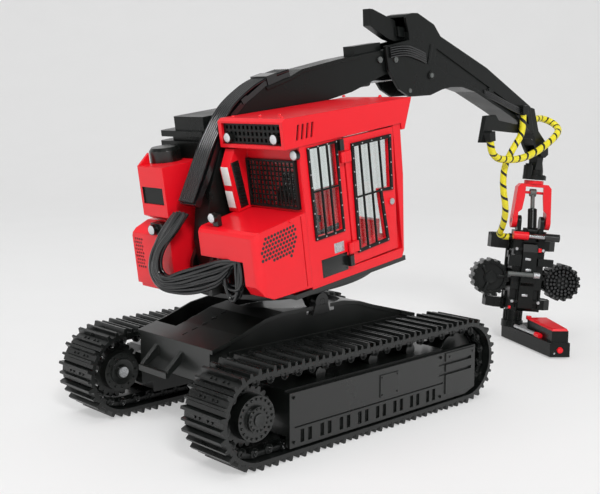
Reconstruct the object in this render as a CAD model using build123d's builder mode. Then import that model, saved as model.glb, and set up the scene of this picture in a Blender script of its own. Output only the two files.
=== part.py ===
"""Scale model of a tracked, levelling forestry harvester, in its parked pose. Millimetres, Z up.

X runs forward along the tracks, Y to the left, and the origin lies at the stand's screw hole, in the
middle of the chassis' belly. The upper structure has a frame of its own, DECK, tilted nose-up on its
levelling table, and the harvesting head has HEAD, which hangs from the stick and is turned outward.
"""
from build123d import *
import math
import os

os.makedirs("parts", exist_ok=True)

# Stance of the parked model
belly_height = 11.0       # floor to belly
deck_height = 36.0        # floor to the underside of the deck, on the slew axis
table_tilt = 8.0          # degrees nose-up
link_lean = 6.5           # degrees, the head's foot towards the machine
head_turn = 47.0          # degrees to the left

# Clearances and walls
seat_gap = 0.3            # between pieces of different bodies
running_gap = 0.05        # radial, pins and shafts
wall = 1.2                # cab panels
pane = 0.4                # clear windows
guard = 0.45              # window guards' thickness

# Undercarriage: heights from the floor, and radii about the end axles
track_outer = 33.0        # middle to the outer ends of the shoes
shoe_width = 13.85
axle_x = 36.5
axle_h = 11.5             # also the lugs' radius, so that they stand on the floor
shoe_count = 48
lug_height = 1.2
plate_thickness = 1.0
link_height = 2.0
link_width = 5.0
beam_half = 4.9           # half width of a track frame's beam
beam_rear, beam_front = -27.5, 34.0
cover_front = 40.0
cover_face = 6.4          # middle of the track to its cover's outer face
beam_inner = 5.8          # middle of the track to its frame's inner face
cover_gap = 0.4           # shoes to the cover's lower edge
roller_radius = 1.6
hub_radius = 5.2
stand_hole_radius = 1.25
stand_hole_depth = 8.0

plate_out = axle_h - lug_height
plate_in = plate_out - plate_thickness
link_in = plate_in - link_height
wheel_radius = link_in - seat_gap
track_middle = track_outer - shoe_width / 2
track_inner = track_outer - shoe_width

# Chassis
hull_half = 14.0
plate_half = 15.0         # top plate, to its side folds
wing_half = track_inner - 0.55
hull_end = 35.5
crown = deck_height - 6.8
well_floor = crown - 2.0
tilt_pin_h = deck_height - 6.0
tilt_pin_radius = 0.8
lug_radius = 2.2
lug_y = 13.6              # chassis lugs, outside the table's
lug_half = 1.0
table_lug_y = lug_y - 2 * lug_half - 0.4

# Upper structure, in DECK: heights from the deck's underside
deck_radius = 24.5
deck_plate = 1.2
cab_right, cab_left = -26.0, -4.3
cab_rear, cab_front = -13.8, 20.8
cab_floor, cab_top = 2.4, 36.0
roof_rear, roof_top = -18.3, 42.9
hood_rear = -29.6
door_x = -0.9
door_rear, door_front, door_low = 0.4, 16.1, 5.0
engine_rear = -30.0
engine_right, engine_left = 5.2, 23.0
boom_pin = (-22.0, 9.0)
boom_half = 2.7
boom_flange = 0.35
boom_gap = boom_half + boom_flange + 0.35   # middle to the cab roof and the air intake
stick_pin = (50.5, 48.8)
stick_in, stick_out = 3.0, 3.9
link_pin = (117.6, 11.3)
link_half = 1.6

tilt = math.radians(table_tilt)
GROUND = Plane.XY.offset(-belly_height)
DECK = Plane(
    origin=(0, 0, deck_height - belly_height),
    x_dir=(math.cos(tilt), 0, math.sin(tilt)),
    z_dir=(-math.sin(tilt), 0, math.cos(tilt)),
)
lean = math.radians(link_lean)
LINK = Plane(
    origin=DECK.from_local_coords(Vector(link_pin[0], 0, link_pin[1])),
    x_dir=(math.cos(lean), 0, -math.sin(lean)),
    z_dir=(math.sin(lean), 0, math.cos(lean)),
)
heading = math.radians(head_turn)
HEAD = Plane(
    origin=LINK.origin,
    x_dir=LINK.x_dir * math.cos(heading) + LINK.y_dir * math.sin(heading),
    z_dir=LINK.z_dir,
)
SAW = Plane(
    origin=HEAD.from_local_coords(Vector(0, 0, -60.0)),
    x_dir=(math.cos(heading), math.sin(heading), 0),
    z_dir=(0, 0, 1),
)


def side_plane(frame, y):
    """Sketches run forward and up, and their extrusions go to the right."""
    return Plane(origin=frame.from_local_coords(Vector(0, y, 0)), x_dir=frame.x_dir, z_dir=-frame.y_dir)


def cross_plane(frame, x):
    """Sketches run to the left and up, and their extrusions go forward."""
    return Plane(origin=frame.from_local_coords(Vector(x, 0, 0)), x_dir=frame.y_dir, z_dir=frame.x_dir)


def block(frame, xs, ys, zs, mode=Mode.ADD):
    """A box between two values on each axis of a frame."""
    with BuildSketch(frame.offset(zs[0])) as flat:
        with Locations(((xs[0] + xs[1]) / 2, (ys[0] + ys[1]) / 2)):
            Rectangle(xs[1] - xs[0], abs(ys[1] - ys[0]))
    extrude(flat.sketch, amount=zs[1] - zs[0], mode=mode)


def slab(plane, depth, outline, mode=Mode.ADD):
    """An outline on a plane, extruded along its normal."""
    with BuildSketch(plane) as flat:
        with BuildLine():
            Polyline(*outline, close=True)
        make_face()
    extrude(flat.sketch, amount=depth, mode=mode)


def side_slab(frame, ys, outline, mode=Mode.ADD):
    """An outline of forward and up values, between two values across."""
    slab(side_plane(frame, max(ys)), abs(ys[1] - ys[0]), outline, mode)


def plan_slab(frame, zs, outline, mode=Mode.ADD):
    """An outline of forward and left values, between two heights."""
    slab(frame.offset(zs[0]), zs[1] - zs[0], outline, mode)


def cross_slab(frame, xs, outline, mode=Mode.ADD):
    """An outline of left and up values, between two values forward."""
    slab(cross_plane(frame, xs[0]), xs[1] - xs[0], outline, mode)


def disc(plane, centre, depth, radius, mode=Mode.ADD):
    """A round piece that starts on a plane."""
    with BuildSketch(plane) as flat:
        with Locations(centre):
            Circle(radius)
    extrude(flat.sketch, amount=depth, mode=mode)


def axle(frame, centre, ys, radius, mode=Mode.ADD):
    """A round piece across the frame, about a point of forward and up values."""
    disc(side_plane(frame, max(ys)), centre, abs(ys[1] - ys[0]), radius, mode)


def post(frame, centre, zs, radius, mode=Mode.ADD):
    """A round piece that stands up in the frame, about a point of forward and left values."""
    disc(frame.offset(zs[0]), centre, zs[1] - zs[0], radius, mode)


def between(frame, start, end, y=0.0):
    """A plane at start whose normal points to end, both as forward and up values."""
    a = frame.from_local_coords(Vector(start[0], y, start[1]))
    b = frame.from_local_coords(Vector(end[0], y, end[1]))
    return Plane(origin=a, x_dir=frame.y_dir, z_dir=b - a)


def finish(piece, name):
    piece.part.label = name
    export_step(piece.part, f"parts/{name}.step")


# Track loops
run = 2 * axle_x
loop_length = 2 * run + 2 * math.pi * plate_in
pitch = loop_length / shoe_count


def on_loop(s, radius):
    """The point at distance s round the loop and at a radius about the end axles."""
    s = s % loop_length
    arc = math.pi * plate_in
    if s < run:
        return (-axle_x + s, axle_h - radius)
    s = s - run
    if s < arc:
        turn = s / plate_in - math.pi / 2
        return (axle_x + radius * math.cos(turn), axle_h + radius * math.sin(turn))
    s = s - arc
    if s < run:
        return (axle_x - s, axle_h + radius)
    turn = (s - run) / plate_in + math.pi / 2
    return (-axle_x + radius * math.cos(turn), axle_h + radius * math.sin(turn))


shoe_profile = (   # share of the pitch, radius
    (0.0, plate_out - 0.5),
    (0.07, axle_h),
    (0.20, axle_h),
    (0.27, plate_out),
    (0.55, plate_out),
    (0.60, axle_h - 0.3),
    (0.70, axle_h - 0.3),
    (0.75, plate_out),
    (0.97, plate_out),
)
outer_line = []
for shoe in range(shoe_count):
    for share, radius in shoe_profile:
        outer_line.append(on_loop((shoe + share) * pitch, radius))

sprocket_teeth = 22
tooth_profile = ((0.0, wheel_radius - 1.0), (0.3, wheel_radius), (0.7, wheel_radius))   # share, radius
sprocket_line = []
for tooth in range(sprocket_teeth):
    for share, radius in tooth_profile:
        turn = 2 * math.pi * (tooth + share) / sprocket_teeth
        sprocket_line.append((-axle_x + radius * math.cos(turn), axle_h + radius * math.sin(turn)))

beam_low, beam_top = axle_h - 6.3, axle_h + 4.5
cover_low, cover_top = axle_h - plate_in + cover_gap, axle_h + 4.0
roller_h = axle_h - link_in + seat_gap + roller_radius
carrier_h = axle_h + link_in - seat_gap - roller_radius
roller_slots = 8
slot_pitch = 6.3

for side, sign in (("right", -1), ("left", 1)):
    middle = sign * track_middle

    def across(near, far):
        """Two distances from the track's middle, outward positive, as values across."""
        return (middle + sign * near, middle + sign * far)

    with BuildPart() as track:
        side_slab(GROUND, across(-shoe_width / 2, shoe_width / 2), outer_line)
        with BuildSketch(side_plane(GROUND, middle + shoe_width / 2)):
            with Locations((0, axle_h)):
                SlotCenterToCenter(run, 2 * plate_in)
        extrude(amount=shoe_width, mode=Mode.SUBTRACT)
        with BuildSketch(side_plane(GROUND, middle + link_width / 2)):
            with Locations((0, axle_h)):
                SlotCenterToCenter(run, 2 * plate_in)
                SlotCenterToCenter(run, 2 * link_in, mode=Mode.SUBTRACT)
        extrude(amount=link_width)
    finish(track, f"track_{side}")

    with BuildPart() as track_frame:
        block(GROUND, (beam_rear, beam_front), across(-beam_half, beam_half), (beam_low, beam_top))
        side_slab(GROUND, across(beam_half, cover_face), (
            (beam_rear, cover_low), (cover_front - 4, cover_low), (cover_front, cover_low + 1.3),
            (cover_front, cover_top), (beam_rear, cover_top)))
        block(GROUND, (beam_rear, cover_front), across(-beam_half, -beam_inner), (beam_low - 0.7, cover_top))
        block(GROUND, (28.0, 34.5), across(-beam_half, beam_half), (beam_low, beam_top), Mode.SUBTRACT)
        # arm that carries the final drive
        arm_end = -axle_x + hub_radius + seat_gap
        block(GROUND, (arm_end, beam_rear), across(-2.8, -beam_inner), (axle_h - 4, axle_h + 4))
        # raised front panel, access plate, groove above the roller band
        block(GROUND, (27.4, cover_front - 0.4), across(cover_face, cover_face + 0.3),
              (cover_low + 1.6, cover_top - 0.4))
        block(GROUND, (2.3, 9.0), across(cover_face, cover_face + 0.25), (axle_h - 3.1, axle_h + 2.5))
        block(GROUND, (-26.0, 26.6), across(cover_face - 0.35, cover_face),
              (axle_h - 4.3, axle_h - 3.95), Mode.SUBTRACT)
        for h in (axle_h + 1.0, axle_h - 1.7):
            block(GROUND, (24.8, 38.0), across(cover_face - 0.3, cover_face + 0.3),
                  (h - 0.4, h + 0.4), Mode.SUBTRACT)
        # openings beside each roller
        for pair in range(roller_slots):
            for shift in (-1.2, 1.2):
                x = -22.4 + slot_pitch * pair + shift
                block(GROUND, (x - 0.6, x + 0.6), across(cover_face - 0.7, cover_face),
                      (cover_low + 0.9, axle_h - 5.0), Mode.SUBTRACT)
        for roller in range(6):
            axle(GROUND, (-22 + 9 * roller, roller_h), across(-link_width / 2, link_width / 2), roller_radius)
        # carrier rollers with their brackets
        for x in (-14.0, 4.0, 18.0):
            axle(GROUND, (x, carrier_h), across(-link_width / 2, link_width / 2), roller_radius)
            side_slab(GROUND, across(-link_width / 2 - 1.3, -link_width / 2), (
                (x - 4.0, beam_top - 0.5), (x + 3.2, beam_top - 0.5),
                (x + 1.4, carrier_h + 1.2), (x - 1.8, carrier_h + 1.2)))
    finish(track_frame, f"track_frame_{side}")

    with BuildPart() as final_drive:
        side_slab(GROUND, across(-2.3, 2.3), sprocket_line)
        axle(GROUND, (-axle_x, axle_h), across(2.3, 5.6), hub_radius)
        axle(GROUND, (-axle_x, axle_h), across(5.6, 6.5), 3.0)
        axle(GROUND, (-axle_x, axle_h), across(-4.9, -2.3), hub_radius - 0.2)
        axle(GROUND, (-axle_x, axle_h), across(-5.5, -4.9), 1.7)
    finish(final_drive, f"final_drive_{side}")

    with BuildPart() as idler:
        axle(GROUND, (axle_x, axle_h), across(-2.3, 2.3), wheel_radius)
        axle(GROUND, (axle_x, axle_h), across(-beam_half, beam_half), 1.6)
    finish(idler, f"idler_{side}")

# Chassis between the tracks: a hull, its top plate folded down at both sides
frame_inner = track_middle - beam_inner
plate_profile = (   # forward, drop from the crown
    (-hull_end, 5.7), (-27.0, 3.6), (-19.0, 0.9), (-13.0, 0.0),
    (8.0, 0.0), (14.0, 1.0), (19.0, 2.6), (hull_end, 7.2),
)
plate_line = [(x, crown - drop) for x, drop in plate_profile]
hull_low = belly_height + 4.0


def wing_line(drop):
    """The part of the top plate's profile that the side folds have, lowered by drop."""
    return [(-30.0, hull_low)] + [(30.0, hull_low)] + [(x, h - drop) for x, h in reversed(wing_top)]


wing_top = [(-30.0, crown - 4.3)] + plate_line[1:-1] + [(30.0, crown - 5.7)]
with BuildPart() as carbody:
    side_slab(GROUND, (-hull_half, hull_half), (
        (-hull_end, hull_low), (-27, belly_height), (27, belly_height), (hull_end, hull_low),
        *reversed(plate_line)))
    side_slab(GROUND, (-plate_half, plate_half), (
        *plate_line, *((x, h - 1.0) for x, h in reversed(plate_line))))
    # overhanging rear edge with cut corners
    with BuildSketch(GROUND.offset(crown - 7.0)) as lip:
        with BuildLine():
            Polyline((-hull_end, -plate_half), (-hull_end - 1, -plate_half),
                     (-hull_end - 5, -plate_half + 4), (-hull_end - 5, plate_half - 4),
                     (-hull_end - 1, plate_half), (-hull_end, plate_half), close=True)
        make_face()
    extrude(lip.sketch, amount=1.1)
    for sign in (-1, 1):
        with BuildSketch(side_plane(GROUND, sign * (plate_half - 0.5))) as fold:
            with BuildLine():
                Polyline(*wing_line(0.0), close=True)
            make_face()
        with BuildSketch(side_plane(GROUND, sign * wing_half)) as edge:
            with BuildLine():
                Polyline(*wing_line(4.0), close=True)
            make_face()
        loft([fold.sketch, edge.sketch])
        block(GROUND, (-30.0, 30.0), (sign * hull_half, sign * plate_half), (hull_low, crown - 7.2))
    for x in (-15.0, 15.0):
        block(GROUND, (x - 6, x + 6), (-frame_inner, frame_inner), (belly_height - 3, belly_height + 4))
    # well for the levelling hinge, with its lugs
    post(GROUND, (0, 0), (well_floor, crown + 1.0), lug_y + lug_half + 0.2, Mode.SUBTRACT)
    for y in (-lug_y, lug_y):
        side_slab(GROUND, (y - lug_half, y + lug_half), (
            (-3, well_floor - 0.4), (3, well_floor - 0.4), (2.0, tilt_pin_h), (-2.0, tilt_pin_h)))
        axle(GROUND, (0, tilt_pin_h), (y - lug_half, y + lug_half), lug_radius)
        axle(GROUND, (0, tilt_pin_h), (y - lug_half, y + lug_half),
             tilt_pin_radius + running_gap, Mode.SUBTRACT)
    # slots along the rear slope, and a stowed tow bracket
    for x in (-32.0, -29.0):
        block(GROUND, (x - 0.9, x + 0.9), (-0.25, 0.25), (crown - 6.0, crown), Mode.SUBTRACT)
    for y in (-3.0, 7.0):
        side_slab(GROUND, (y - 0.6, y + 0.6), (
            (-hull_end, crown - 8.0), (-hull_end, crown - 10.5),
            (-hull_end - 4.4, crown - 13.6), (-hull_end - 4.4, crown - 12.0)))
    block(GROUND, (-hull_end - 5.0, -hull_end - 4.0), (-3.6, 7.6), (crown - 13.8, crown - 12.4))
    with BuildSketch(Plane.XY):
        Circle(stand_hole_radius)
    extrude(amount=stand_hole_depth, mode=Mode.SUBTRACT)
finish(carbody, "carbody")

# Levelling table
table_low = -3.2
with BuildPart() as table:
    post(DECK, (0, 0), (table_low, -seat_gap), 15.5)
    for y in (-table_lug_y, table_lug_y):
        side_slab(DECK, (y - lug_half, y + lug_half), (
            (-4.5, table_low), (2.9, table_low), (1.3, table_low - 3.0), (-3.0, table_low - 3.0)))
        axle(GROUND, (0, tilt_pin_h), (y - lug_half, y + lug_half), lug_radius)
    for sign in (-1, 1):
        axle(GROUND, (0, tilt_pin_h), (sign * table_lug_y, sign * (lug_y + lug_half)), tilt_pin_radius)
finish(table, "levelling_table")

# Revolving frame
cheek_y, cheek_half = 3.6, 0.6
cylinder_foot = (4.0, 5.6)
boom_pin_radius = 1.0
with BuildPart() as deck:
    post(DECK, (0, 0), (0.0, deck_plate), deck_radius)
    block(DECK, (-19, 19.4), (-25.6, 24.5), (deck_plate, cab_floor))
    for y in (-cheek_y, cheek_y):
        side_slab(DECK, (y - cheek_half, y + cheek_half), (
            (-27, deck_plate), (-26, 9), (-24, 12.2), (-20, 12.2), (-17, 9),
            (-12, cab_floor), (-12, deck_plate)))
    axle(DECK, boom_pin, (-cheek_y, cheek_y), boom_pin_radius)
    for y in (-2.4, 2.4):
        side_slab(DECK, (y - 0.5, y + 0.5), ((1.5, cab_floor), (6.5, cab_floor), (5.4, 7.0), (2.6, 7.0)))
    axle(DECK, cylinder_foot, (-2.4, 2.4), 0.7)
finish(deck, "revolving_frame")

# Cab: a hollow shell with its windows cut, and the duct beside the rear window
sill = 4.0                # height of the front wall's lower bend
cab_line = (
    (cab_rear, cab_floor), (17.7, cab_floor), (18.6, sill), (20.5, 23.1), (cab_front, cab_top), (cab_rear, cab_top),
)
room_line = (
    (cab_rear + wall, cab_floor + wall), (17.0, cab_floor + wall), (17.5, sill + 0.4), (20.5 - wall, 23.2),
    (cab_front - wall, cab_top), (cab_rear + wall, cab_top),
)
side_window = (-11.0, -2.5, 14.4, 35.0)        # rear, front, low, high
rear_window = (-24.3, -8.2, 22.0, 32.4)        # right, left, low, high
front_window = (-24.0, -6.3, 6.4, 34.0)
left_window = (-11.0, 16.6, 20.0, 33.6)
with BuildPart() as cab:
    side_slab(DECK, (cab_right, cab_left), cab_line)
    side_slab(DECK, (cab_right + wall, cab_left - wall), room_line, Mode.SUBTRACT)
    block(DECK, (door_rear - seat_gap, door_front + 2.0), (cab_right, cab_right + wall),
          (door_low - seat_gap, cab_top), Mode.SUBTRACT)
    block(DECK, side_window[:2], (cab_right, cab_right + wall), side_window[2:], Mode.SUBTRACT)
    block(DECK, (cab_rear, cab_rear + wall), rear_window[:2], rear_window[2:], Mode.SUBTRACT)
    block(DECK, (16.5, cab_front + 1), front_window[:2], front_window[2:], Mode.SUBTRACT)
    block(DECK, left_window[:2], (cab_left - wall, cab_left), left_window[2:], Mode.SUBTRACT)
    side_slab(DECK, (-7.6, cab_left), (
        (cab_rear, 21.0), (-18.5, 20.45), (-20.0, 31.0), (-17.6, 35.6), (cab_rear, 35.6)))
finish(cab, "cab_shell")

grille_ys, grille_zs = (-25.2, -4.6), (36.9, 41.8)
with BuildPart() as roof:
    side_slab(DECK, (cab_right - 0.2, -boom_gap), (
        (roof_rear, cab_top), (roof_rear, roof_top - 0.7), (roof_rear + 1.0, roof_top), (25.6, roof_top - 1.0),
        (22.2, 34.4), (cab_front + 0.3, 34.4), (cab_front + 0.3, cab_top)))
    block(DECK, (roof_rear, roof_rear + 1.6), grille_ys, grille_zs, Mode.SUBTRACT)
    # raised panel with its groove, and the slanted louvres of the side band
    for xs, ys in (((2.4, 21.6), (-23.6, -23.2)), ((2.4, 21.6), (-6.4, -6.0)), ((2.4, 2.8), (-23.6, -6.0))):
        block(DECK, xs, ys, (roof_top - 1.6, roof_top), Mode.SUBTRACT)
    for slot in range(4):
        x = -14.6 + 1.5 * slot
        side_slab(DECK, (cab_right - 0.2, cab_right + 0.2), (
            (x, 37.6), (x + 0.7, 37.6), (x + 1.5, 41.0), (x + 0.8, 41.0)), Mode.SUBTRACT)
finish(roof, "cab_roof")

grille_columns, grille_rows = 13, 3
grille_x = (roof_rear + 0.7, roof_rear + 1.2)
with BuildPart() as grille:
    block(DECK, grille_x, grille_ys, grille_zs)
    for column in range(grille_columns):
        for row in range(grille_rows):
            y = -24.0 + 18.2 * column / (grille_columns - 1)
            z = 37.9 + 1.45 * row
            block(DECK, grille_x, (y - 0.4, y + 0.4), (z - 0.42, z + 0.42), Mode.SUBTRACT)
finish(grille, "roof_grille")

# Window guards: frames outside the walls, with bars across them
def guard_frame(frame_plane, outer, inner, uprights, rails, bar=0.4):
    """A flat ring with upright bars and rails, all in the guard's thickness."""
    slab(frame_plane, guard, outer)
    slab(frame_plane, guard, inner, Mode.SUBTRACT)
    half = bar / 2
    for x, low, high in uprights:
        slab(frame_plane, guard, ((x - half, low), (x + half, low), (x + half, high), (x - half, high)))
    for z, rear, front in rails:
        slab(frame_plane, guard, ((rear, z - half), (front, z - half), (front, z + half), (rear, z + half)))


mesh_columns, mesh_rows = 11, 8
with BuildPart() as guards:
    side = side_plane(DECK, cab_right)
    rear, front, low, high = side_window
    guard_frame(side,
                ((rear - 0.6, low - 0.8), (front + 0.6, low - 0.6),
                 (front + 0.6, high + 0.6), (rear - 0.6, high + 0.3)),
                ((rear, low), (front, low), (front, high), (rear, high)),
                ((rear + 2.9, low - 0.3, high + 0.2), (rear + 5.7, low - 0.3, high + 0.2)),
                ((25.0, rear - 0.2, front + 0.2),))
    # rear mesh: uprights and rails in two layers, both held by the frame
    right, left, low, high = rear_window
    mesh_out = cab_rear - 0.9
    block(DECK, (mesh_out, cab_rear), (right - 0.5, left + 0.5), (low - 0.5, high + 0.5))
    block(DECK, (mesh_out, cab_rear), (right, left), (low, high), Mode.SUBTRACT)
    for column in range(1, mesh_columns + 1):
        y = right + (left - right) * column / (mesh_columns + 1)
        block(DECK, (mesh_out + 0.1, mesh_out + 0.42), (y - 0.16, y + 0.16), (low - 0.2, high + 0.2))
    for row in range(1, mesh_rows + 1):
        z = low + (high - low) * row / (mesh_rows + 1)
        block(DECK, (mesh_out + 0.46, cab_rear - 0.12), (right - 0.2, left + 0.2), (z - 0.16, z + 0.16))
finish(guards, "window_guards")

glass_out = 0.4           # panes set in from the walls' outer faces
with BuildPart() as glazing:
    rear, front, low, high = side_window
    block(DECK, (rear, front), (cab_right + glass_out, cab_right + glass_out + pane), (low, high))
    right, left, low, high = rear_window
    block(DECK, (cab_rear + glass_out, cab_rear + glass_out + pane), (right, left), (low, high))
    rear, front, low, high = left_window
    block(DECK, (rear, front), (cab_left - glass_out - pane, cab_left - glass_out), (low, high))
    right, left, low, high = front_window
    side_slab(DECK, (right, left), (
        (18.3, low), (18.7, low), (20.1, 23.1), (20.35, high), (19.95, high), (19.7, 23.1)))
finish(glazing, "cab_glazing")

# Cab door with its hinges, stepped window, guard and pane
door_out = cab_right - 0.2
door_pin = (door_x, cab_right - 0.7)
door_line = (
    (door_rear, door_low), (door_front, door_low + 0.3), (17.8, cab_top - seat_gap), (door_rear, cab_top - seat_gap))
guard_line = ((1.8, 7.5), (13.0, 8.0), (11.9, 20.7), (15.8, 20.3), (16.6, 34.1), (2.5, 34.1))
opening_line = ((2.7, 8.4), (12.1, 8.8), (11.0, 21.5), (15.0, 21.2), (15.7, 33.2), (3.3, 33.2))
with BuildPart() as door:
    side_slab(DECK, (door_out, door_out + wall), door_line)
    side_slab(DECK, (door_out, door_out + wall), opening_line, Mode.SUBTRACT)
    for z in (9.4, 31.4):
        block(DECK, (door_x, 1.8), (door_out - 0.7, door_out), (z - 1.3, z + 1.3))
        post(DECK, door_pin, (z - 1.3, z + 1.3), 0.6)
    axle(DECK, (15.0, 17.5), (door_out - 0.35, door_out), 0.8)
finish(door, "cab_door")
with BuildPart() as door_guard:
    guard_frame(side_plane(DECK, door_out), guard_line, opening_line,
                ((5.4, 8.2, 33.6), (8.5, 8.4, 33.6), (12.2, 21.2, 33.6)),
                ((21.0, 2.8, 11.3),))
finish(door_guard, "door_guard")
with BuildPart() as door_glass:
    side_slab(DECK, (door_out + glass_out, door_out + glass_out + pane), opening_line)
finish(door_glass, "door_glass")
with BuildPart() as door_hinges:
    for z, height in ((6.4, 1.3), (34.4, 1.3)):
        block(DECK, (door_x - 0.9, door_x), (cab_right - 1.2, cab_right), (z - height, z + height))
        post(DECK, door_pin, (z - height, z + height), 0.6)
finish(door_hinges, "door_hinges")

# Inside the cab
with BuildPart() as seat:
    block(DECK, (-6.5, 2.5), (-19.6, -11.4), (cab_floor + wall, 6.4))
    side_slab(DECK, (-20.4, -10.6), (
        (-8.0, 6.4), (3.6, 6.4), (3.8, 9.6), (-4.4, 8.8), (-5.4, 24.4), (-8.4, 24.4)))
    side_slab(DECK, (-18.2, -12.8), ((-8.2, 24.4), (-5.8, 24.4), (-6.2, 28.4), (-8.0, 28.4)))
    for y in (-22.0, -10.9):
        side_slab(DECK, (y, y + 1.6), ((-6.0, 12.6), (4.8, 13.2), (5.2, 14.8), (-6.0, 14.0)))
        block(DECK, (-6.6, -5.2), (y, y + 1.6), (6.4, 14.0))
    block(DECK, (-6.6, -5.4), (-22.0, -9.3), (6.4, 8.0))
finish(seat, "cab_seat")
room_floor = cab_floor + wall
with BuildPart() as console:
    side_slab(DECK, (-24.4, -20.8), ((6.0, room_floor), (14.6, room_floor), (14.6, 9.0), (6.0, 6.4)))
    side_slab(DECK, (-9.0, -5.8), (
        (-10.8, room_floor), (15.4, room_floor), (15.4, 10.0), (4.0, 15.6), (-10.8, 15.6)))
    side_slab(DECK, (-19.6, -10.4), ((13.0, room_floor), (16.4, room_floor), (17.2, 12.0), (15.2, 12.0)))
finish(console, "cab_console")

# Rear hood, rounded at its outer corner
hood_step = 12.3          # underside of the part that overhangs the hose loops
with BuildPart() as hood:
    side_slab(DECK, (cab_right, -5.5), (
        (hood_rear, hood_step), (hood_rear, 18.0), (hood_rear + 0.4, 18.8), (hood_rear + 1.2, 19.3),
        (cab_rear, 20.9), (cab_rear, hood_step)))
    side_slab(DECK, (cab_right, -20.8), (
        (hood_rear, hood_step), (hood_rear, 6.8), (hood_rear + 1.2, 4.6), (hood_rear + 3.6, 3.4),
        (cab_rear, 3.0), (cab_rear, hood_step)))
    with BuildSketch(DECK.offset(2.6)) as plan:
        with Locations(((hood_rear + 10.0) / 2, (cab_right + 10.0) / 2)):
            RectangleRounded(10.0 - hood_rear, 10.0 - cab_right, 2.0)
    extrude(plan.sketch, amount=20.0, mode=Mode.INTERSECT)
    # panel seam
    block(DECK, (-15.6, -15.3), (cab_right, cab_right + 0.3), (3.6, 20.2), Mode.SUBTRACT)
finish(hood, "rear_hood")

# Engine: body, upper box with its lip, stepped air intake on top, air cleaner
with BuildPart() as engine_body:
    cross_slab(DECK, (engine_rear - 0.5, 16.0), (
        (engine_right, cab_floor), (21.6, cab_floor), (21.4, 14.6), (20.6, 16.6), (17.5, 18.6),
        (engine_right, 19.0)))
    for slope in (
            ((engine_rear - 1, 15.0), (engine_rear + 2.6, 19.1), (engine_rear - 1, 20.0)),
            ((16.5, 12.0), (16.5, 20.0), (11.0, 19.1))):
        side_slab(DECK, (engine_right, engine_left), slope, Mode.SUBTRACT)
    # foot under the rear corner, side louvres
    block(DECK, (engine_rear - 0.2, engine_rear + 4.0), (13.0, 20.4), (1.5, cab_floor))
    for louvre in range(7):
        x = -21.0 + 4.6 * louvre
        block(DECK, (x, x + 3.0), (21.1, engine_left), (6.0, 13.4), Mode.SUBTRACT)
finish(engine_body, "engine_body")
box_top = 32.7
with BuildPart() as upper_box:
    side_slab(DECK, (engine_right, 15.5), (
        (engine_rear + 2.7, 19.0), (engine_rear, 20.4), (engine_rear, box_top), (-8.0, box_top),
        (-5.0, 27.0), (-5.0, 19.0)))
    side_slab(DECK, (14.8, 15.5), ((engine_rear, box_top), (-26.6, box_top + 2.7), (-26.6, box_top)))
    block(DECK, (engine_rear, engine_rear + 0.3), (6.2, 14.6), (23.4, 27.6), Mode.SUBTRACT)
finish(upper_box, "engine_upper_box")
intake_levels = (   # rear, front, right, left, low, high
    (-18.2, 2.4, boom_gap, 21.7, box_top, 36.9),
    (-16.6, 1.2, boom_gap + 1.5, 18.5, 36.9, 38.0),
    (-18.2, 2.4, boom_gap, 21.2, 38.0, 39.5),
    (-17.4, 2.0, boom_gap, 16.0, 39.5, 43.0),
)
with BuildPart() as top_block:
    for rear, front, right, left, low, high in intake_levels:
        plan_slab(DECK, (low, high), (
            (rear, right), (front - 1.0, right), (front, right + 1.0), (front, left - 2.0),
            (front - 2.0, left), (rear + 0.8, left), (rear, left - 0.8)))
finish(top_block, "engine_top_block")
cleaner_x, cleaner_y, cleaner_radius = -22.25, 13.9, 4.0
cleaner_plane = side_plane(DECK, cleaner_y)
with BuildPart() as cleaner:
    with BuildSketch(cleaner_plane):
        with BuildLine():
            Polyline((cleaner_x, box_top), (cleaner_x + cleaner_radius, box_top),
                     (cleaner_x + cleaner_radius, box_top + 2.8), (cleaner_x + cleaner_radius - 0.6, box_top + 3.6),
                     (cleaner_x, box_top + 3.6), close=True)
        make_face()
    revolve(axis=Axis(cleaner_plane.from_local_coords(Vector(cleaner_x, 0, 0)), DECK.z_dir))
finish(cleaner, "air_cleaner")


# Work lamps: round housings that look to the rear, each on a foot
lamp_depth = 1.1
lamp_table = (   # x of the mounting face, y, z, radius
    (roof_rear + 0.7, -6.7, 38.4, 1.2),
    (roof_rear + 0.7, -23.1, 38.4, 1.2),
    (engine_rear - 0.4, 11.1, 17.2, 1.3),
    (hood_rear + 1.4, -10.7, 21.6, 1.2),
    (cab_rear, -25.0, 34.2, 1.2),
)
with BuildPart() as lamps:
    for x, y, z, radius in lamp_table:
        disc(cross_plane(DECK, x - lamp_depth), (y, z), lamp_depth, radius)
    block(DECK, (hood_rear + 1.4, hood_rear + 2.6), (-11.6, -9.8), (19.5, 22.2))
    side_slab(DECK, (7.8, 12.7), (
        (engine_rear - 0.4, 15.85), (engine_rear - 0.4, 18.7), (engine_rear + 2.0, 18.7)))
finish(lamps, "work_lamps")

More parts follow.
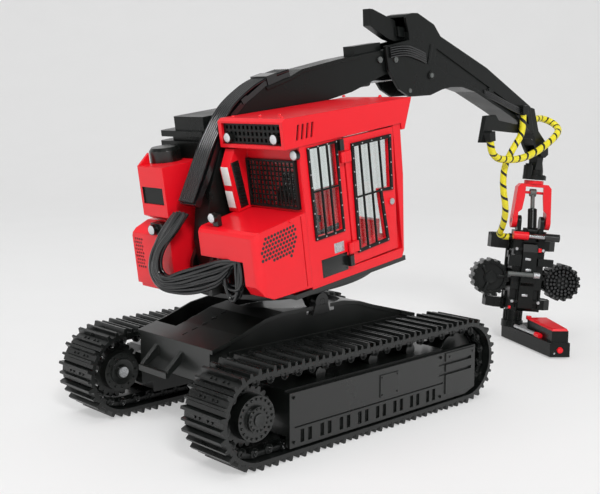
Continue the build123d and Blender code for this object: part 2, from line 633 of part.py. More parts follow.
# Boom
boom_line = (
    (-24.8, 8.0), (-25.2, 14.4), (-22.6, 25.9), (-18.0, 35.0), (-12.4, 42.0), (-8.2, 45.0), (-1.6, 48.2),
    (7.0, 49.7), (11.0, 51.0), (25.0, 52.0), (40.0, 52.4), (51.0, 52.3), (53.6, 50.4), (53.8, 47.4),
    (50.5, 45.4), (42.5, 45.8), (28.8, 42.8), (14, 41.4), (4, 40.6), (-4, 38.0), (-8.5, 33.5), (-14, 20),
    (-18.9, 9), (-20, 6.6), (-23, 6.0),
)
boom_channel = 1.7        # half width of the stick cylinder's channel
stick_cyl = ((12.0, 45.5), (54.0, 43.8))
boom_cyl = ((4.0, 5.6), (6.0, 38.6))
stick_pin_radius = 1.2
with BuildPart() as boom:
    side_slab(DECK, (-boom_half, boom_half), boom_line)
    side_slab(DECK, (-boom_channel, boom_channel), (
        (9.5, 30), (9.5, 47.6), (44, 47.6), (56, 46.2), (56, 30)), Mode.SUBTRACT)
    side_slab(DECK, (-1.5, 1.5), ((2.5, 37), (2.5, 42.8), (9.5, 42.8), (9.5, 37)), Mode.SUBTRACT)
    for y in (-2.1, 2.1):
        side_slab(DECK, (y - 0.6, y + 0.6), ((2.5, 41), (9.5, 41), (7.4, 37.4), (4.6, 37.4)))
    # flanges along the upper edge, cover on top, end bosses
    for sign in (-1, 1):
        side_slab(DECK, (sign * boom_half, sign * (boom_half + boom_flange)), (
            (-1.6, 48.2), (7.0, 49.7), (11.0, 51.0), (25.0, 52.0), (33.0, 52.2),
            (33.0, 51.3), (25.0, 51.1), (11.4, 50.1), (7.2, 48.8), (-1.2, 47.3)))
    plan_slab(DECK, (52.0, 54.6), ((31.6, -1.9), (42.4, -1.9), (42.4, 1.9), (31.6, 1.9)))
    axle(DECK, (40.6, 50.0), (-boom_half - 0.3, boom_half + 0.3), 0.9)
    axle(DECK, boom_pin, (-boom_half, boom_half), boom_pin_radius + running_gap, Mode.SUBTRACT)
    axle(DECK, stick_cyl[0], (-boom_half, boom_half), 0.7)
    axle(DECK, stick_pin, (-boom_half, boom_half), stick_pin_radius + running_gap, Mode.SUBTRACT)
finish(boom, "boom")

# Stick: a box with side pockets, its hollow cowl and its tail
stick_line = (
    (42.3, 53.5), (42.8, 47.0), (46.8, 41.0), (50.8, 38.5), (59.8, 37.7), (65.3, 38.6), (69.2, 38.8),
    (74.7, 38.1), (80.9, 35.8), (93.8, 28.5), (111.2, 18.2), (113.6, 13.0), (115.4, 10.0), (117.6, 8.9),
    (119.6, 9.6), (119.8, 12.5), (114.6, 18.4), (112.9, 26.0), (109.1, 27.4), (87.2, 42.3), (66.2, 53.8),
    (64.9, 55.6), (63.6, 57.4), (56.8, 61.2), (54.5, 61.4), (52.6, 61.2), (51.5, 60.3), (52.4, 56.2),
    (52.4, 54.2),
)
pocket_depth = 0.5
pockets = (
    ((64.0, 50.6), (88.2, 36.2), (86.6, 33.8), (76.0, 39.6), (68.0, 42.6), (62.6, 46.6)),
    ((90.2, 34.8), (107.6, 24.2), (108.0, 21.6), (88.8, 32.6)),
)
link_pin_radius = 0.8
tip_half = 3.0            # the stick's tip, narrower than its box
with BuildPart() as stick:
    side_slab(DECK, (-stick_out, stick_out), stick_line)
    side_slab(DECK, (-1.3, 1.3), ((40.0, 63.9), (41.2, 63.7), (62, 54.4), (60, 50), (46.4, 55.2), (39.6, 59.4)))
    side_slab(DECK, (-stick_in, stick_in), (
        (40, 54.2), (40, 30), (57.5, 30), (58.2, 50), (56.6, 54.2)), Mode.SUBTRACT)
    side_slab(DECK, (-stick_in - 0.2, stick_in + 0.2), (
        (50, 56.6), (60.6, 55.9), (56.4, 60.4), (50, 60.6)), Mode.SUBTRACT)
    side_slab(DECK, (-2.2, 2.2), ((50, 55.4), (62, 53.0), (58.6, 56.6), (50, 58.2)))
    side_slab(DECK, (-link_half - seat_gap, link_half + seat_gap), (
        (112.2, 16.4), (112.2, 5), (125, 5), (125, 16.4)), Mode.SUBTRACT)
    for sign in (-1, 1):
        side_slab(DECK, (sign * tip_half, sign * 5.0), (
            (108.8, 30), (112.6, 5), (125, 5), (125, 30)), Mode.SUBTRACT)
        for pocket in pockets:
            side_slab(DECK, (sign * (stick_out - pocket_depth), sign * stick_out), pocket, Mode.SUBTRACT)
        # rib, boss and bracket on each cheek
        side_slab(DECK, (sign * stick_out, sign * (stick_out + 0.3)), (
            (61.4, 52.2), (62.4, 52.0), (60.4, 46.6), (59.4, 46.8)))
        axle(DECK, (60.5, 43.3), (sign * stick_out, sign * (stick_out + 0.4)), 1.2)
    side_slab(DECK, (-stick_out, -2.4), (
        (90.5, 27.4), (85.6, 27.8), (82.5, 20.0), (86.6, 19.3), (88.2, 22.9), (101.5, 19.9), (104.4, 20.2),
        (104.4, 22.4), (101.5, 22.6), (92, 25.4)))
    # manifold and glands of the yellow hoses
    block(DECK, (101.7, 104.5), (-6.4, -stick_out), (25.6, 28.4))
    block(DECK, (83.6, 86.4), (-6.4, -stick_out), (20.05, 23.0))
    disc(cross_plane(DECK, 113.2), (1.6, 21.4), 2.2, 1.4)
    axle(DECK, stick_pin, (-stick_out, stick_out), stick_pin_radius)
    axle(DECK, link_pin, (-tip_half, tip_half), link_pin_radius)
finish(stick, "stick")


def barrel(frame, ends, length, radius, rod_radius, eye_radius, eye_half, pin_radius):
    """A cylinder's barrel, with its eye at the first end and bored for the rod."""
    axis = between(frame, *ends)
    disc(axis.offset(eye_radius * 0.6), (0, 0), length - eye_radius * 0.6, radius)
    axle(frame, ends[0], (-eye_half, eye_half), eye_radius)
    bore_start = eye_radius + 0.6
    disc(axis.offset(bore_start), (0, 0), length - bore_start, rod_radius + running_gap, Mode.SUBTRACT)
    axle(frame, ends[0], (-eye_half, eye_half), pin_radius + running_gap, Mode.SUBTRACT)


def rod(frame, ends, inside, radius, eye_radius, eye_half, bore):
    """A cylinder's rod, from inside its barrel to the eye at the second end."""
    reach = math.dist(*ends) - inside
    disc(between(frame, ends[1], ends[0]).offset(eye_radius * 0.6), (0, 0), reach - eye_radius * 0.6, radius)
    axle(frame, ends[1], (-eye_half, eye_half), eye_radius)
    axle(frame, ends[1], (-eye_half, eye_half), bore, Mode.SUBTRACT)


tilt_cyl = ((-4.0, -27.0), (0.0, -14.2))
cylinders = (
    # name, frame, ends, barrel's length and radius, rod's radius, barrel's eye, its half width and pin,
    # rod's start, its eye, half width and bore
    ("boom_cylinder", DECK, boom_cyl, 19.0, 1.75, 0.9, 1.5, 1.6, 0.7, 12.7, 1.4, 1.2, 0.6),
    ("stick_cylinder", DECK, stick_cyl, 26.0, 1.3, 0.6, 1.2, 1.2, 0.7, 15.0, 1.3, 1.1, 0.6),
    ("tilt_cylinder", HEAD, tilt_cyl, 7.6, 1.5, 0.7, 1.3, 1.6, 0.6, 6.4, 1.3, 1.0, 0.9),
)
for name, frame, ends, length, radius, rod_radius, eye, half, pin, start, rod_eye, rod_half, bore in cylinders:
    with BuildPart() as outer:
        barrel(frame, ends, length, radius, rod_radius, eye, half, pin)
    finish(outer, f"{name}_barrel")
    with BuildPart() as inner:
        rod(frame, ends, start, rod_radius, rod_eye, rod_half, bore)
    finish(inner, f"{name}_rod")

# Link and rotator
plate_low, plate_high = -9.8, -8.4
with BuildPart() as link:
    side_slab(LINK, (-link_half, link_half), (
        (-1.5, 1.6), (1.5, 1.6), (2.2, 0), (1.6, -4), (2.4, -6.6), (-2.4, -6.6), (-1.6, -4), (-2.2, 0)))
    axle(LINK, (0, 0), (-link_half, link_half), link_pin_radius + running_gap, Mode.SUBTRACT)
finish(link, "head_link")
with BuildPart() as rotator:
    post(LINK, (0, 0), (plate_high, -6.6), 2.7)
    post(LINK, (0, 0), (plate_low, plate_high), 3.9)
    # its motor, beside the link
    post(LINK, (-4.1, 0.0), (plate_low, -5.2), 1.5)
    post(LINK, (-4.1, 0.0), (-5.2, -4.6), 1.0)
finish(rotator, "rotator")

# Tilt frame: a fork over the head, flanged towards the rear
head_pin = (0.0, -24.0)
fork_top, fork_under = -11.3, -12.3
fork_y = 4.75             # inner faces at the pins
fork_end = 6.4
eye_pin_radius = 0.45
with BuildPart() as tilt_frame:
    post(HEAD, (0, 0), (fork_top, plate_low - seat_gap), 3.2)
    for sign in (-1, 1):
        cross_slab(HEAD, (-2.4, 2.4), (
            (0, fork_top), (sign * 4.5, fork_top), (sign * 5.6, fork_top - 1.2), (sign * fork_end, head_pin[1]),
            (sign * fork_y, head_pin[1]), (sign * fork_y, -20.0), (sign * 3.9, fork_under), (0, fork_under)))
        cross_slab(HEAD, (-2.4, -1.7), (
            (sign * 3.9, fork_under), (sign * 3.0, fork_under), (sign * 3.0, -15.5), (sign * 3.6, -20.0),
            (sign * fork_y, -21.0), (sign * fork_y, -20.0)))
        middle = sign * (fork_y + fork_end) / 2
        half = (fork_end - fork_y) / 2
        axle(HEAD, head_pin, (middle - half, middle + half), 2.4)
        axle(HEAD, head_pin, (middle - half - 0.4, middle + half + 0.4), 0.8 + running_gap, Mode.SUBTRACT)
    axle(HEAD, tilt_cyl[1], (-4.2, 4.2), eye_pin_radius)
finish(tilt_frame, "tilt_frame")

# Main frame of the head, in HEAD: away from the rear view, left, up
arm_pin = (5.4, 5.4)
arm_levels = (-45.6, -41.4)
knife_levels = (("upper", -31.3), ("lower", -52.4))
pin_radius = 0.7
column_half = 5.2
column_face = -3.0
saw_line = ((1.6, 5.8), (-26.9, -3.7), (-26.9, -9.9), (3.2, -4.6))
saw_cap = ((-9.0, -0.5), (-26.4, -4.3), (-26.4, -9.4), (-9.0, -7.0))
with BuildPart() as head_frame:
    block(HEAD, (column_face, 3.0), (-column_half, column_half), (-54.0, -27.0))
    for y in (-3.8, 3.8):
        block(HEAD, (-2.0, 2.0), (y - 0.6, y + 0.6), (-27.0, -24.0))
        axle(HEAD, head_pin, (y - 0.6, y + 0.6), 2.0)
    for y in (-5.4, 5.4):
        axle(HEAD, head_pin, (y - 1.0, y + 1.0), 0.8)
    for y in (-2.4, 2.4):
        side_slab(HEAD, (y - 0.45, y + 0.45), (
            (column_face, -30.5), (-5.0, -28.6), (-5.0, -26.0), (-3.2, -26.0), (column_face, -27.0)))
    block(HEAD, (column_face, column_face + 0.8), (-2.1, 2.1), (-29.0, -27.0), Mode.SUBTRACT)
    axle(HEAD, tilt_cyl[0], (-2.4, 2.4), 0.6)
    for sign in (-1, 1):
        post(HEAD, (arm_pin[0], sign * arm_pin[1]), (-54.6, -28.8), pin_radius)
        for z in (-49.2, -35.4):
            block(HEAD, (2.0, 6.0), (sign * 3.6, sign * 5.8), (z - 1.2, z + 1.2))
        # recessed flanks of the column
        block(HEAD, (column_face, column_face + 0.8), (sign * 2.9, sign * 4.5), (-53.0, -46.8), Mode.SUBTRACT)
    # stepped rib on the face, and the blocks beside it
    side_slab(HEAD, (-2.4, 2.4), (
        (column_face, -31.0), (-4.4, -31.4), (-5.0, -34.0), (-5.0, -44.4), (-4.2, -45.4), (-4.2, -53.0),
        (column_face, -54.0)))
    block(HEAD, (-5.2, column_face), (2.8, column_half), (-39.0, -35.0))
    block(HEAD, (-5.2, column_face - 0.5), (column_half, 6.9), (-39.0, -35.4))
    block(HEAD, (-5.2, column_face), (-column_half, -2.8), (-38.5, -36.0))
    block(HEAD, (-5.2, column_face - 0.5), (-7.9, -column_half), (-38.5, -36.0))
    for z in (-33.2, -50.8):
        block(HEAD, (-3.9, column_face), (-column_half, column_half), (z - 0.5, z + 0.5))
    # saw motor on the saw box
    post(HEAD, (-1.0, 3.0), (-57.4, -54.0), 2.9)
    post(HEAD, (-1.0, 3.0), (-59.6, -57.4), 3.6)
    plan_slab(SAW, (-3.4, 1.1), saw_line)
    plan_slab(SAW, (1.1, 4.8), saw_cap)
    # port of the feed hose on the left flank
    disc(side_plane(HEAD, 6.9), (-1.0, -29.6), 6.9 - column_half, 1.3)
finish(head_frame, "head_frame")

with BuildPart() as saw_cover:
    with BuildSketch(SAW.offset(4.8)) as low:
        with BuildLine():
            Polyline(*saw_cap, close=True)
        make_face()
    extrude(low.sketch, amount=0.7, taper=30)
finish(saw_cover, "saw_cover")


def strut(frame, start, end, radius):
    """A round bar between two points of a frame."""
    a = frame.from_local_coords(Vector(*start))
    b = frame.from_local_coords(Vector(*end))
    disc(Plane(origin=a, z_dir=b - a), (0, 0), (b - a).length, radius)


# Bright bars: the measuring arm across the rib and the saw's tension rod
with BuildPart() as head_bars:
    strut(HEAD, (-6.1, 7.0, -41.5), (-6.1, -1.5, -41.5), 0.75)
    strut(HEAD, (-6.1, -1.5, -41.5), (-6.1, -3.4, -41.5), 1.0)
    strut(SAW, (-5.5, 2.7, 1.8), (-19.4, -1.9, 1.8), 0.6)
finish(head_bars, "head_bars")

# Cross cylinder of the knives on two brackets
cross_x, cross_h = -6.6, -28.6
with BuildPart() as cross_cylinder:
    for left, right, radius in ((6.6, 1.6, 1.3), (1.6, -3.8, 0.8), (-3.8, -8.6, 1.3)):
        axle(HEAD, (cross_x, cross_h), (right, left), radius)
    for y in (-4.6, 4.6):
        block(HEAD, (cross_x, column_face), (y - 0.5, y + 0.5), (cross_h - 0.8, cross_h + 0.6))
finish(cross_cylinder, "knife_cylinder")

# Feed arms, feed rollers and knives
roller_centre = (12.0, -43.5)
roller_back, roller_front = -3.2, 3.8
roller_tip, roller_root = 6.2, 5.6
roller_lugs = 15
arm_face = 4.2
arm_thickness = 1.4
spindle_radius, spindle_length = 1.0, 6.0
roller_line = []
for lug in range(roller_lugs):
    for share, radius in ((0.0, roller_root), (0.45, roller_root), (0.55, roller_tip), (0.9, roller_tip)):
        turn = 2 * math.pi * (lug + share) / roller_lugs
        roller_line.append((radius * math.cos(turn), radius * math.sin(turn)))
knife_line = (
    (4.4, 5.0), (4.6, 8.6), (7.0, 11.0), (11.0, 11.4), (15.0, 9.4), (18.0, 5.4), (17.2, 5.0),
    (14.0, 7.8), (10.6, 9.2), (8.2, 8.4), (6.7, 5.6),
)
knife_half = {"upper": 2.5, "lower": 1.7}
for side, sign in (("left", 1), ("right", -1)):
    hinge = (arm_pin[0], sign * arm_pin[1])
    centre = (sign * roller_centre[0], roller_centre[1])
    with BuildPart() as arm:
        for z in arm_levels:
            post(HEAD, hinge, (z - 1.1, z + 1.1), 1.3)
            block(HEAD, (arm_face, arm_face + arm_thickness), (sign * arm_pin[1], sign * 13.0),
                  (z - 1.1, z + 1.1))
        disc(cross_plane(HEAD, arm_face), centre, arm_thickness, 3.2)
        for z in arm_levels:
            post(HEAD, hinge, (z - 1.1, z + 1.1), pin_radius + running_gap, Mode.SUBTRACT)
        disc(cross_plane(HEAD, arm_face - spindle_length), centre, spindle_length, spindle_radius)
    finish(arm, f"feed_arm_{side}")
    with BuildPart() as roller:
        cross_slab(HEAD, (roller_back, roller_front),
                   [(centre[0] + y, centre[1] + z) for y, z in roller_line])
        with BuildSketch(cross_plane(HEAD, roller_back)) as recess:
            with Locations(centre):
                Circle(4.6)
                Circle(2.2, mode=Mode.SUBTRACT)
        extrude(recess.sketch, amount=0.9, mode=Mode.SUBTRACT)
        disc(cross_plane(HEAD, arm_face - spindle_length - seat_gap), centre, 8.0,
             spindle_radius + running_gap, Mode.SUBTRACT)
    finish(roller, f"feed_roller_{side}")
    for level, z in knife_levels:
        half = knife_half[level]
        with BuildPart() as knife:
            plan_slab(HEAD, (z - half, z + half), [(u, sign * v) for u, v in knife_line])
            post(HEAD, hinge, (z - half, z + half), 1.3)
            # teeth along the upper edge
            for tooth in range(5):
                u = 7.6 + 2.0 * tooth
                side_slab(HEAD, (sign * 4.0, sign * 12.0), (
                    (u - 0.8, z + half + 0.1), (u + 0.8, z + half + 0.1), (u + 0.1, z + half - 1.4)),
                    Mode.SUBTRACT)
            post(HEAD, hinge, (z - half, z + half), pin_radius + running_gap, Mode.SUBTRACT)
        finish(knife, f"{level}_knife_{side}")

# Hoses. Each route is a list of points, its tube has many flat sides and arcs as large as its runs allow
def hose(route, radius, sides=8):
    """A tube along straight runs and tangent arcs, and the list of its arcs' radii."""
    radii = []
    for before, here, after in zip(route, route[1:], route[2:]):
        turn = math.radians((here - before).get_angle(after - here))
        radii.append(0.45 * min((here - before).length, (after - here).length) / math.tan(turn / 2))
    with BuildLine() as path:
        FilletPolyline(*route, radius=radii)
    with BuildSketch(Plane(origin=path.line @ 0, z_dir=path.line % 0)) as section:
        RegularPolygon(radius, sides)
    sweep(section.sketch, path=path.line)
    return radii


def in_deck(points):
    """Points of forward, left and up values in DECK, as vectors."""
    return [DECK.from_local_coords(Vector(*point)) for point in points]


# Hose bundle along the boom, in its clips: a strip as wide as its hoses
ribbon_half = 2.8
clip_half = boom_half + boom_flange
ribbon_line = (   # forward and up: along the boom's outer face, and back along the strip's own
    (7.0, 49.75), (-1.6, 48.25), (-8.3, 45.1), (-12.6, 42.1), (-18.3, 35.4), (-21.8, 29.4), (-26.2, 23.2),
    (-27.2, 24.0), (-23.0, 30.2), (-19.2, 36.3), (-13.3, 43.2), (-8.7, 46.3), (-2.0, 49.5), (6.8, 50.9),
)
with BuildPart() as ribbon:
    side_slab(DECK, (-ribbon_half, ribbon_half), ribbon_line)
    for outline in (
            ((-26.4, 22.9), (-25.3, 24.4), (-26.6, 25.3), (-27.7, 23.8)),
            ((-9.4, 44.9), (-7.6, 45.8), (-8.2, 47.0), (-10.0, 46.1)),
            ((-0.8, 48.4), (2.6, 49.0), (2.2, 51.2), (-1.2, 50.7))):
        side_slab(DECK, (-clip_half, clip_half), outline)
    side_slab(DECK, (-boom_half - 0.1, boom_half + 0.1), boom_line, Mode.SUBTRACT)
finish(ribbon, "hose_ribbon")

# The same hoses at the boom's foot, in two slack loops that end under the hood
loop_end = hood_step - 0.05
loops = (   # radius of the bundle, route
    (1.7, ((-28.8, 1.5, 21.8), (-33.0, 1.6, 17.4), (-34.6, 7.6, 12.8), (-34.2, 12.0, 7.0), (-33.2, 8.0, 2.2),
           (-32.4, -2.0, 2.6), (-31.2, -10.6, 4.4), (-28.2, -15.4, 7.6), (-28.2, -15.4, loop_end))),
    (1.1, ((-28.2, -11.0, loop_end), (-28.4, -11.3, 6.0), (-28.6, -14.6, 1.9), (-28.6, -18.4, 3.0),
           (-28.2, -19.2, 8.0), (-28.3, -18.9, loop_end))),
)
with BuildPart() as base_hoses:
    for radius, route in loops:
        hose(in_deck(route), radius, 6)
finish(base_hoses, "base_hoses")

# Yellow hoses: one to the head's port, one in a loop round the stick's tip
hose_radius = 1.1
loop_hose_radius = 1.2
long_route = in_deck((
    (103.1, -5.2, 25.6), (103.1, -5.2, 20.2), (99.4, -3.6, 15.6), (96.2, -2.0, 10.4), (95.4, -1.4, 3.4)))
long_route += [HEAD.from_local_coords(Vector(*point)) for point in (
    (-11.5, 10.8, -20.4), (-6.2, 10.3, -26.4), (-1.0, 10.6, -29.6), (-1.0, 6.95, -29.6))]
loop_route = in_deck((
    (85.2, -5.2, 20.0), (85.2, -5.2, 16.8), (88.4, -5.2, 13.9), (93.4, -5.2, 12.8), (99.5, -5.2, 11.8),
    (107.2, -5.2, 12.0), (115.0, -5.2, 13.6), (121.2, -4.9, 15.4), (127.0, -3.0, 17.0), (128.6, 1.0, 19.2),
    (124.6, 3.0, 21.2), (119.8, 1.6, 21.4), (115.45, 1.6, 21.4)))
for name, route, radius in (
        ("yellow_hose_long", long_route, hose_radius),
        ("yellow_hose_loop", loop_route, loop_hose_radius)):
    with BuildPart() as tube:
        radii = hose(route, radius)
    length = sum((b - a).length for a, b in zip(route, route[1:]))
    print(name, "arc radii", [round(value, 1) for value in radii], "runs", round(length, 1))
    finish(tube, name)
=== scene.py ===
# %% [markdown]
# # A tracked forestry harvester, as a scale model
# The object is a die-cast model on a shelf: gloss red sheet-like bodies, satin black frames and tracks,
# bright cylinder rods and soft hoses. The imported CAD model gives every form that moves, and this lesson
# adds its finishes, its hoses, its many small details, the camera and the light.
# The imported pieces are loaded first.

# %% Frame and sizes
import math
import random

import bmesh
import bpy
from mathutils import Matrix, Vector


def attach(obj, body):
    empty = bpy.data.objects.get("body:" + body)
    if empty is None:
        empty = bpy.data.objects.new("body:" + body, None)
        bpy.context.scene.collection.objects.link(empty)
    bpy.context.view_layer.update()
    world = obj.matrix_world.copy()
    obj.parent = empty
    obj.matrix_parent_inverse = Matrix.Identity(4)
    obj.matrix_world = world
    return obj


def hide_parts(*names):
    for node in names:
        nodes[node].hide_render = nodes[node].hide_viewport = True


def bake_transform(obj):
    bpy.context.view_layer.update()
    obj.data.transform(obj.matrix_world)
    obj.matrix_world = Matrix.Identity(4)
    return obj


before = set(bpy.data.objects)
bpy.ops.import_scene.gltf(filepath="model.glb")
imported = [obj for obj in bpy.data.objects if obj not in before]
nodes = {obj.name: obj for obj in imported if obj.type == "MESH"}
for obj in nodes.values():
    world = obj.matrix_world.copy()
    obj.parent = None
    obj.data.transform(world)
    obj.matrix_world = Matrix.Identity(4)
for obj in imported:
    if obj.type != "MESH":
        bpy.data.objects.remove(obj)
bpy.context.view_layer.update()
MM = 0.001
FLOOR = -0.011
scene = bpy.context.scene

# %% [markdown]
# The upper structure stands nose-up on its levelling table and the head hangs turned outward, so their
# details are easiest to place in frames of their own. Each frame is a matrix, built from the one before
# by a move in millimetres and a turn.

# %% Frames of the tilted bodies
def turned(parent, point, degrees, axis):
    """A frame at a point of its parent, in mm, turned about one of its axes."""
    return parent @ Matrix.Translation(Vector(point) * MM) @ Matrix.Rotation(math.radians(degrees), 4, axis)


ROW = Matrix.Identity(4)
DECK = turned(ROW, (0, 0, 25), -8.0, "Y")
LINK = turned(DECK, (117.6, 0, 11.3), 14.5, "Y")
HEAD = turned(LINK, (0, 0, 0), 47.0, "Z")
SAW = Matrix.Translation(HEAD @ (Vector((0, 0, -60.0)) * MM)) @ Matrix.Rotation(math.radians(47), 4, "Z")
ALONG = {
    "X": Matrix.Rotation(math.radians(90), 4, "Y"),
    "Y": Matrix.Rotation(math.radians(-90), 4, "X"),
    "-X": Matrix.Rotation(math.radians(-90), 4, "Y"),
    "-Y": Matrix.Rotation(math.radians(90), 4, "X"),
    "Z": Matrix.Identity(4),
    "-Z": Matrix.Rotation(math.radians(180), 4, "X"),
}


def at(place, point, along="Z"):
    """A matrix at a point of a frame, in mm, whose z axis looks along the named axis."""
    return place @ Matrix.Translation(Vector(point) * MM) @ ALONG[along]


print("the head's pin is at", [round(v, 4) for v in HEAD.translation], "m, the saw at",
      [round(v, 4) for v in SAW.translation])


# %% [markdown]
# The camera is where the photographer's was: behind the machine's right rear corner, a hand's breadth
# above the table, looking 8 degrees down. A 60 mm lens on a 36 mm sensor gives the same mild perspective.

# %% Camera
camera_data = bpy.data.cameras.new("camera")
camera_data.lens = 60.0
camera_data.sensor_width = 36.0
camera_data.clip_start = 0.01
camera_data.clip_end = 20.0
camera = bpy.data.objects.new("camera", camera_data)
scene.collection.objects.link(camera)
scene.camera = camera
yaw, pitch = math.radians(46.898), math.radians(8.327)
look = Vector((math.cos(yaw) * math.cos(pitch), math.sin(yaw) * math.cos(pitch), -math.sin(pitch)))
camera.location = (-0.173135, -0.191448, 0.069108)
camera.rotation_euler = look.to_track_quat("-Z", "Y").to_euler()
print("the camera is", round(camera.location.length, 3), "m from the origin and looks along",
      [round(v, 3) for v in look])

# %% [markdown]
# Hoses leave their glands along one line, sag and come back. A NURBS line of low order, led by a few
# control points, is the smooth curve that a real hose takes. A round bevel gives it its thickness, and the
# curve is then kept as a mesh, with the UV map that runs along the tube and round it.

# %% Hose routes
def run_of(place, points):
    """Points of a frame, in mm, as vectors of the scene."""
    return [place @ (Vector(point) * MM) for point in points]


def hoses(name, routes, radius, body, sides=3):
    """One object with a round tube along each route, and the middle points. With no body it rides on none."""
    curve = bpy.data.curves.new(name, "CURVE")
    curve.dimensions = "3D"
    curve.resolution_u = 8
    for route in routes:
        line = curve.splines.new("NURBS")
        line.points.add(len(route) - 1)
        for knot, point in zip(line.points, route):
            knot.co = (*point, 1.0)
        line.order_u = 3
        line.use_endpoint_u = True
    drawn = bpy.data.objects.new(name, curve)
    middle = [tuple(v.co) for v in bpy.data.meshes.new_from_object(drawn).vertices]
    curve.bevel_depth = radius * MM
    curve.bevel_resolution = sides
    curve.use_fill_caps = True
    tube = bpy.data.meshes.new_from_object(drawn)
    tube.name = name
    bpy.data.objects.remove(drawn)
    made = bpy.data.objects.new(name, tube)
    scene.collection.objects.link(made)
    if body:
        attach(made, body)
    print(name, len(routes), "tubes, faces", len(tube.polygons))
    return made, middle


long_route = run_of(DECK, (
    (103.1, -5.2, 25.6), (103.1, -5.2, 20.2), (99.4, -3.6, 15.6), (96.2, -2.0, 10.4), (95.4, -1.4, 3.4)))
long_route += run_of(HEAD, (
    (-11.5, 10.8, -20.4), (-6.2, 10.3, -26.4), (-1.0, 10.6, -29.6), (-1.0, 6.95, -29.6)))
loop_route = run_of(DECK, (
    (85.2, -5.2, 20.0), (85.2, -5.2, 16.8), (88.4, -5.2, 13.9), (93.4, -5.2, 12.8), (99.5, -5.2, 11.8),
    (107.2, -5.2, 12.0), (115.0, -5.2, 13.6), (121.2, -4.9, 15.4), (127.0, -3.0, 17.0), (128.6, 1.0, 19.2),
    (124.6, 3.0, 21.2), (119.8, 1.6, 21.4), (115.45, 1.6, 21.4)))
long_hose, long_middle = hoses("long_head_hose", [long_route], 1.05, "stick")
loop_hose, loop_middle = hoses("tip_loop_hose", [loop_route], 1.15, "stick")
for hose, node, middle, length, diameter in (
        (long_hose, "yellow_hose_long", long_middle, 0.0488, 0.0021),
        (loop_hose, "yellow_hose_loop", loop_middle, 0.0646, 0.0023)):
    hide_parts(node)

# %% [markdown]
# The black hoses along the boom are moulded as one strip on the model, with every hose standing proud.
# Seven strands lie on the strip, and at the boom's foot the hoses hang in two slack bundles, of fifteen and
# six, that end under the hood. A bundle's strands are its route, moved a little sideways, every one its own
# way. Their upper ends go with the boom and the rest stays with the cab, but this piece is fixed in place
# and rides on no body.

# %% Black hose bundles
random.seed(4)
LOOSE_RADIUS = 0.45   # mm, of one hose in the slack bundles


def bundle(keys, count, play):
    """Routes side by side: each key is a middle point and how far the outermost strand lies from it."""
    routes = []
    for strand in range(count):
        share = 2 * strand / (count - 1) - 1
        depth = LOOSE_RADIUS if strand % 2 else -LOOSE_RADIUS
        routes.append([
            Vector(point) + Vector(spread) * share + Vector((depth, 0, 0))
            + Vector([random.uniform(-play, play) for _ in range(3)]) for point, spread in keys])
    return routes


strip_line = (
    (6.8, 51.2), (-2.1, 50.15), (-9.2, 47.05), (-14.0, 43.95), (-19.95, 36.9), (-23.85, 30.75), (-28.0, 24.4))
strands = [run_of(DECK, [(x, y, z) for x, z in strip_line]) for y in (-2.4, -1.6, -0.8, 0.0, 0.8, 1.6, 2.4)]
boom_hoses, _ = hoses("boom_hose_strands", strands, 0.42, "boom", 2)
first_loop = (   # middle point, spread of the outermost strand
    ((-28.9, 1.4, 21.8), (0.0, 2.2, 0.0)),
    ((-32.2, 2.6, 17.8), (0.0, 2.2, 0.5)),
    ((-33.8, 6.4, 13.0), (0.0, 2.0, -1.0)),
    ((-34.0, 8.6, 8.0), (0.3, 2.4, -0.8)),
    ((-33.6, 6.0, 4.8), (0.3, 1.8, -1.8)),
    ((-32.8, -1.0, 5.6), (0.0, 0.0, -2.6)),
    ((-31.6, -8.0, 7.6), (0.0, 0.0, -3.0)),
    ((-29.4, -14.0, 9.4), (0.3, 0.5, -2.8)),
    ((-28.0, -17.0, 12.0), (0.0, 1.6, 0.0)),
)
second_loop = (
    ((-28.2, -11.6, 12.2), (0.0, 1.2, 0.0)),
    ((-28.8, -11.4, 7.4), (0.0, 1.6, 0.0)),
    ((-29.0, -14.2, 3.6), (0.0, 0.4, 2.0)),
    ((-28.8, -17.6, 4.6), (0.0, -1.2, 1.6)),
    ((-28.4, -18.6, 8.4), (0.0, -1.2, 0.4)),
    ((-28.2, -18.4, 12.2), (0.0, -1.0, 0.0)),
)
loose = [run_of(DECK, route) for route in bundle(first_loop, 15, 0.28) + bundle(second_loop, 6, 0.35)]
foot_hoses, _ = hoses("foot_hose_strands", loose, LOOSE_RADIUS, None, 2)
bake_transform(foot_hoses)
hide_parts("base_hoses")

# %% [markdown]
# Thinner hoses cross the stick's joint and run on to the glands on its flank. They lie one under the other,
# so one route and a growing drop give them all.

# %% Hoses on the stick
joint_routes = []
gland_routes = []
for strand in range(5):
    drop = 0.62 * strand
    joint_routes.append(run_of(DECK, [
        (43.6, -4.2, 52.9 - drop), (47.5, -4.4, 53.2 - drop),
        (53.0, -4.4, 52.2 - drop), (58.6, -4.1, 49.6 - drop)]))
for strand in range(4):
    drop = 0.55 * strand
    gland_routes.append(run_of(DECK, [
        (85.6, -3.5, 35.6 - drop), (90.5, -4.2, 33.4 - drop),
        (97.0, -4.7, 29.8 - drop), (101.9, -5.2, 27.6 - drop)]))
stick_hoses, _ = hoses("stick_hose_strands", joint_routes + gland_routes, 0.3, "stick", 2)

# %% [markdown]
# Every finish is a small tree of shader nodes. One function adds a node with its settings and its inputs,
# where an input is a plain value or the output of a node before it. Colours are written as the sRGB hex
# values that a paint chart gives, and one function turns them into the linear numbers that light needs.

